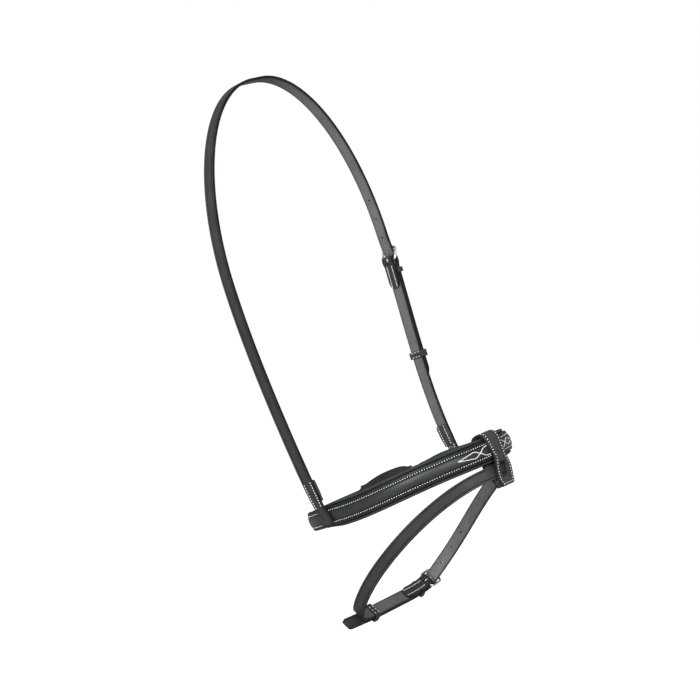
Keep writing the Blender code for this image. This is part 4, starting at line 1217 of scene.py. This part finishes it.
suede = leather_finish("dark_suede", (0.019, 0.018, 0.021), EVEN_DYE, pore=0.9,
                       wrinkle=1.3, sheen=0.03, sheen_blur=0.8)
pad = cut_leather("buckle_guard_pad", stations_for(PAD_LENGTH, 0.0022), pad_half, pad_top,
                  pad_bottom, PAD_ROWS, 0.0)
work(pad, "SUBSURF", levels=1, render_levels=1)
pad_site = Site(band_course, left_t + PAD_CENTRE)
pad_site.lay(pad, Fold([(-PAD_LENGTH / 2, 0.0), (PAD_LENGTH / 2, 0.0)]))
finish_piece(pad, "noseband", ["buckle_pad"], finishes=(suede,), angle=70)
make_keeper("pad_loop", "buckle_pad_loop", chin_site, PAD_LOOP, PAD_LOOP_LENGTH,
            BAND_WIDTH, -HALF_LEATHER, HALF_LEATHER + DIP, "noseband",
            floor=PAD_FLOOR - SEAM - HALF_LEATHER - SLIP)


# Flash loop. A shaped piece of leather folded over the middle of the noseband. Its two
# ends hang down in front of and behind the flash strap and are sewn together. A window in
# the front one shows the strap, and a wedge fills the gap between them below it.
LOOP_LEAF = 0.0024
LOOP_ROOM = 0.0004
LOOP_BEND_RADIUS = 0.055
# Where it passes over the front and the back, in shares of its height and its reach out.
LOOP_FRONT_SHARES = ((1.55, 0.72), (0.65, 1.04), (0.0, 1.0), (-0.62, 1.04), (-1.09, 0.62))
LOOP_BACK_SHARES = ((-1.13, 0.38), (-0.92, 1.05), (-0.3, 1.0), (0.3, 1.0), (0.95, 1.06),
                    (1.60, 0.60))
LOOP_WIDTHS = (0.0200, 0.0200, 0.0186, 0.0165, 0.0212, 0.0225, 0.0222, 0.0182, 0.0150)
WAIST_DROP = 0.0085         # down from the middle of the nose
SLOT_DROP = 0.0212          # and down to the middle of the flash strap
PADDLE_DROP = 0.0370        # and to the loop's ends
SLOT_SLIP = 0.0005
WINDOW_WIDTH = 0.0100
WINDOW_HEIGHT = 0.0139
WINDOW_CORNER = 0.0018
WEDGE_WIDTH = 0.0169
WEDGE_SHORT = 0.0005        # of the loop's ends
FLASH_WIDTH = 0.013
LOOP_BORDER = 0.0026        # from a side edge to the stitches beside it
LOOP_END_BORDER = 0.0022
LOOP_PITCH = 0.0026
LOOP_CREASE = 0.0002
LOOP_CREASE_SHARE = 0.80    # of half the width
LOOP_CREASE_SPREAD = 0.07


def smooth_line(guides, closed, steps=24):
    """A smooth line that rounds the corners between the guide points."""
    guides = np.array(guides, dtype=float)
    if closed:
        guides = np.vstack([guides[-1:], guides, guides[:2]])
    else:
        guides = np.vstack([2 * guides[:1] - guides[1:2], guides,
                            2 * guides[-1:] - guides[-2:-1]])
    points = []
    for first, second, third, fourth in zip(guides, guides[1:], guides[2:], guides[3:]):
        for step in range(steps):
            t = step / steps
            points.append(((1 - t) ** 3 * first + (3 * t ** 3 - 6 * t ** 2 + 4) * second
                           + (1 + 3 * t + 3 * t ** 2 - 3 * t ** 3) * third
                           + t ** 3 * fourth) / 6)
    if not closed:
        points.append(guides[-2])
    return np.array(points)


nose_up = Vector((-math.sin(NOSE_TILT), 0.0, math.cos(NOSE_TILT)))
nose_middle = T_LINE + Vector((NOSE_REACH, 0.0, NOSE_RISE))


def loop_sag(along, across):
    clear = SLOT_DROP - FLASH_WIDTH / 2
    share = eased((clear - along) / (SLOT_DROP - WAIST_DROP))
    return across * across / (2 * LOOP_BEND_RADIUS) * share


loop_course = Course([nose_middle + nose_up * PADDLE_DROP, nose_middle,
                      nose_middle - nose_up * PADDLE_DROP], (0.0, 1.0, 0.0))
loop_site = Site(loop_course, PADDLE_DROP, sag=loop_sag)
half_leaf = LOOP_LEAF / 2
loop_front = FACING_FACE + LOOP_ROOM + half_leaf
loop_back = FACING_BACK + LINING_THICK + LOOP_ROOM + half_leaf
loop_top = LINING_WIDTH / 2 + LOOP_ROOM + half_leaf
leaves_apart = HALF_LEATHER + SLOT_SLIP + half_leaf
loop_foot = SLOT_DROP + FLASH_WIDTH / 2
guides = [(PADDLE_DROP, leaves_apart), (loop_foot, leaves_apart)]
guides += [(loop_top * down, loop_front * out) for down, out in LOOP_FRONT_SHARES]
guides += [(loop_top * down, -loop_back * out) for down, out in LOOP_BACK_SHARES]
guides += [(loop_foot, -leaves_apart), (PADDLE_DROP, -leaves_apart)]
loop_fold = Fold(smooth_line(guides, closed=False, steps=14), soft=0.0008)
loop_length = loop_fold.lengths[-1]
LOOP_ROWS = both_sides((0.0, 0.22, 0.45, 0.66, 0.74, 0.80, 0.86, 0.94, 1.0))


def loop_half(along):
    reach = loop_fold.at(along)[0]
    marks = (-WAIST_DROP - 0.006, -WAIST_DROP, 0.0, WAIST_DROP, SLOT_DROP - 0.004,
             SLOT_DROP, loop_foot, PADDLE_DROP - 0.0016, PADDLE_DROP)
    return np.interp(reach, marks, LOOP_WIDTHS) / 2


def loop_face(along, share):
    """The loop's outer face, with a faint crease under each row of stitches."""
    away = (np.abs(share) - LOOP_CREASE_SHARE) / LOOP_CREASE_SPREAD
    return LOOP_CREASE * np.exp(-away * away) - half_leaf


loop = cut_leather("flash_loop_leather",
                   stations_for(loop_length, 0.0016, (0.0003, 0.0009, 0.0018)), loop_half,
                   flat_face(half_leaf), loop_face, LOOP_ROWS)
mark_inside(loop, inner=1)
loop_site.lay(loop, loop_fold)
window = add_block((0.0, 0.0, 0.0), (WINDOW_HEIGHT, WINDOW_WIDTH, 2 * loop_front))
work(window, "BEVEL", width=WINDOW_CORNER, segments=4)
window.data.transform(loop_site.matrix(SLOT_DROP)
                      @ Matrix.Translation((0.0, 0.0, HALF_LEATHER + loop_front)))
cut_away(loop, window)
loop_leather = leather_finish("flash_loop_dyed", (0.036, 0.036, 0.038))
finish_piece(loop, "noseband", ["flash_loop"],
             finishes=(loop_leather, flesh))

loop_spots = []
for along in np.arange(LOOP_END_BORDER, loop_length - 0.002, LOOP_PITCH):
    half_here = float(loop_half(np.array(along))) - LOOP_BORDER
    loop_spots += [(along, across, -half_leaf - THREAD_PROUD, 0.0)
                   for across in (-half_here, half_here)]
loop_spots += [(end, across, -half_leaf - THREAD_PROUD, math.pi / 2)
               for end in (LOOP_END_BORDER, loop_length - LOOP_END_BORDER)
               for across in np.arange(-0.0042, 0.0043, 0.0028)]
sew("flash_loop_stitches", loop_site, loop_spots, "noseband", fold=loop_fold,
    long=0.0014, wide=0.0009)

wedge_start = loop_foot + SLOT_SLIP
wedge_end = PADDLE_DROP - WEDGE_SHORT
half_wedge = leaves_apart - half_leaf - SEAM
wedge = cut_leather("flash_loop_wedge",
                    stations_for(wedge_end - wedge_start, 0.0015, (0.0004, 0.001)),
                    lambda along: np.full(np.shape(along), WEDGE_WIDTH / 2),
                    flat_face(half_wedge), flat_face(-half_wedge))
loop_site.lay(wedge, Fold([(wedge_start, 0.0), (wedge_end, 0.0)]))
finish_piece(wedge, "noseband", ["flash_loop_filler"], finishes=(flesh,))


# Flash strap. A narrow strap that runs through the loop and round the jaw. It is folded
# round its own small buckle low on the left, and its billet ends on the right. Its inner
# face is painted paler from the buckle up to the loop, a painted highlight where light falls
# on it.
FLASH_REAR = 0.0600         # how far it reaches behind the T line
FLASH_HALF_WIDTH = 0.0655
FLASH_FALL = 0.0975         # how far it hangs down at the rear
FLASH_FALL_POWER = 1.48
FLASH_GUIDE_SHARES = (
    # of its reach forwards and of its half width, from the front to the rear
    (1.0, 0.10), (1.0, 0.24), (0.92, 0.46), (0.74, 0.70), (0.54, 0.90), (0.31, 1.05),
    (0.14, 1.01), (0.015, 0.86), (0.0, 0.50), (0.0, 0.34), (0.0, 0.11),
)
FLASH_BAR = 0.2415          # from the loop to the bar
FLASH_TIP = 0.1235          # past the bar
FLASH_CHAPE = 0.0345
FLASH_KEEPER = 0.0825
FLASH_LEAVE = 0.0865        # where the billet leaves the strap's line and runs straight on
FLASH_HOLE_SPACING = 0.022
DYED_TIP = 0.036            # dyed on both faces
PAINTED_LIGHT_START = 0.008        # from the bar towards the loop
PAST_BEND = 40              # the first of its points that is past the bend


def flash_line():
    """The line of the flash strap and the axis across it at each point."""
    slot = nose_middle - SLOT_DROP * nose_up
    reach = slot.x - T_LINE.x + FLASH_REAR
    left = [(reach * (share - 1.0), FLASH_HALF_WIDTH * side)
            for share, side in FLASH_GUIDE_SHARES]
    right = [(back, -side) for back, side in reversed(left)]
    loop = smooth_line(left + right, closed=True)
    start = int(np.argmin(np.abs(loop[:, 1]) - loop[:, 0]))
    loop = np.roll(loop, -start, axis=0)
    share = np.clip(-loop[:, 0] / reach, 0.0, 1.0)
    fall = FLASH_FALL * share ** FLASH_FALL_POWER
    slope = FLASH_FALL / reach * FLASH_FALL_POWER * share ** (FLASH_FALL_POWER - 1.0)
    points = np.stack([loop[:, 0], loop[:, 1], -fall], axis=-1) + np.array(slot)
    across = np.stack([-slope, np.zeros(len(slope)), np.ones(len(slope))], axis=-1)
    return points, unit(across)


flash_course = Course(*flash_line(), closed=True)
flash_site = Site(flash_course, FLASH_BAR, facing=-1,
                  leave=FLASH_BAR + flash_course.length + FLASH_LEAVE)
lap = flash_course.length
joint = LEAD_IN + 0.0045    # where the two halves of its line meet
flash_points = chape_fold(joint - lap, FLASH_CHAPE)[:0:-1]
flash_points += [(along - lap, out) for along, out in billet_fold(FLASH_TIP, joint)[::-1]]
flash_fold = Fold(flash_points, soft=CHAPE_SOFT)
flash_length = flash_fold.lengths[-1]
flash_tip_half = rounded_tip(FLASH_WIDTH, 0.32, 0.70)
flash_strap = cut_leather(
    "flash_strap_leather", bend_stations(flash_length, flash_fold.bend()),
    lambda along: np.minimum(flash_tip_half(flash_length - along),
                             FLASH_WIDTH / 2 * trimmed(along)),
    flat_face(HALF_LEATHER), lambda along, share: -strap_top(along, share))
# A paler copy of the bare inner leather: painted light on the inner face between the buckle
# and the loop.
painted_lit_flesh = bare_finish("painted_lit_inner_leather", (0.160, 0.160, 0.163))
mark_inside(flash_strap, inner=1, dyed_past=flash_length - DYED_TIP)
for face in flash_strap.data.polygons:
    from_bar = flash_length - face.center.x - FLASH_TIP
    if face.material_index == 1 and PAINTED_LIGHT_START < from_bar < FLASH_BAR:
        face.material_index = 2
cut_slot(flash_strap, flash_fold)
past_bend = Fold(flash_points[PAST_BEND:], soft=CHAPE_SOFT)
punch(flash_strap, past_bend, range(-2, 4), FLASH_HOLE_SPACING, lap,
      flash_length - past_bend.lengths[-1])
flash_site.lay(flash_strap, flash_fold)
finish_piece(flash_strap, "flash_strap", ["flash_strap"],
             finishes=(dyed, flesh, painted_lit_flesh))
make_buckle("flash_buckle", flash_site, FLASH_WIDTH)
make_keepers("flash", flash_site, FLASH_WIDTH, "flash_strap", FLASH_KEEPER)
sew("flash_chape_stitches", flash_site, chape_rows(FLASH_CHAPE), "flash_strap", long=0.0024)
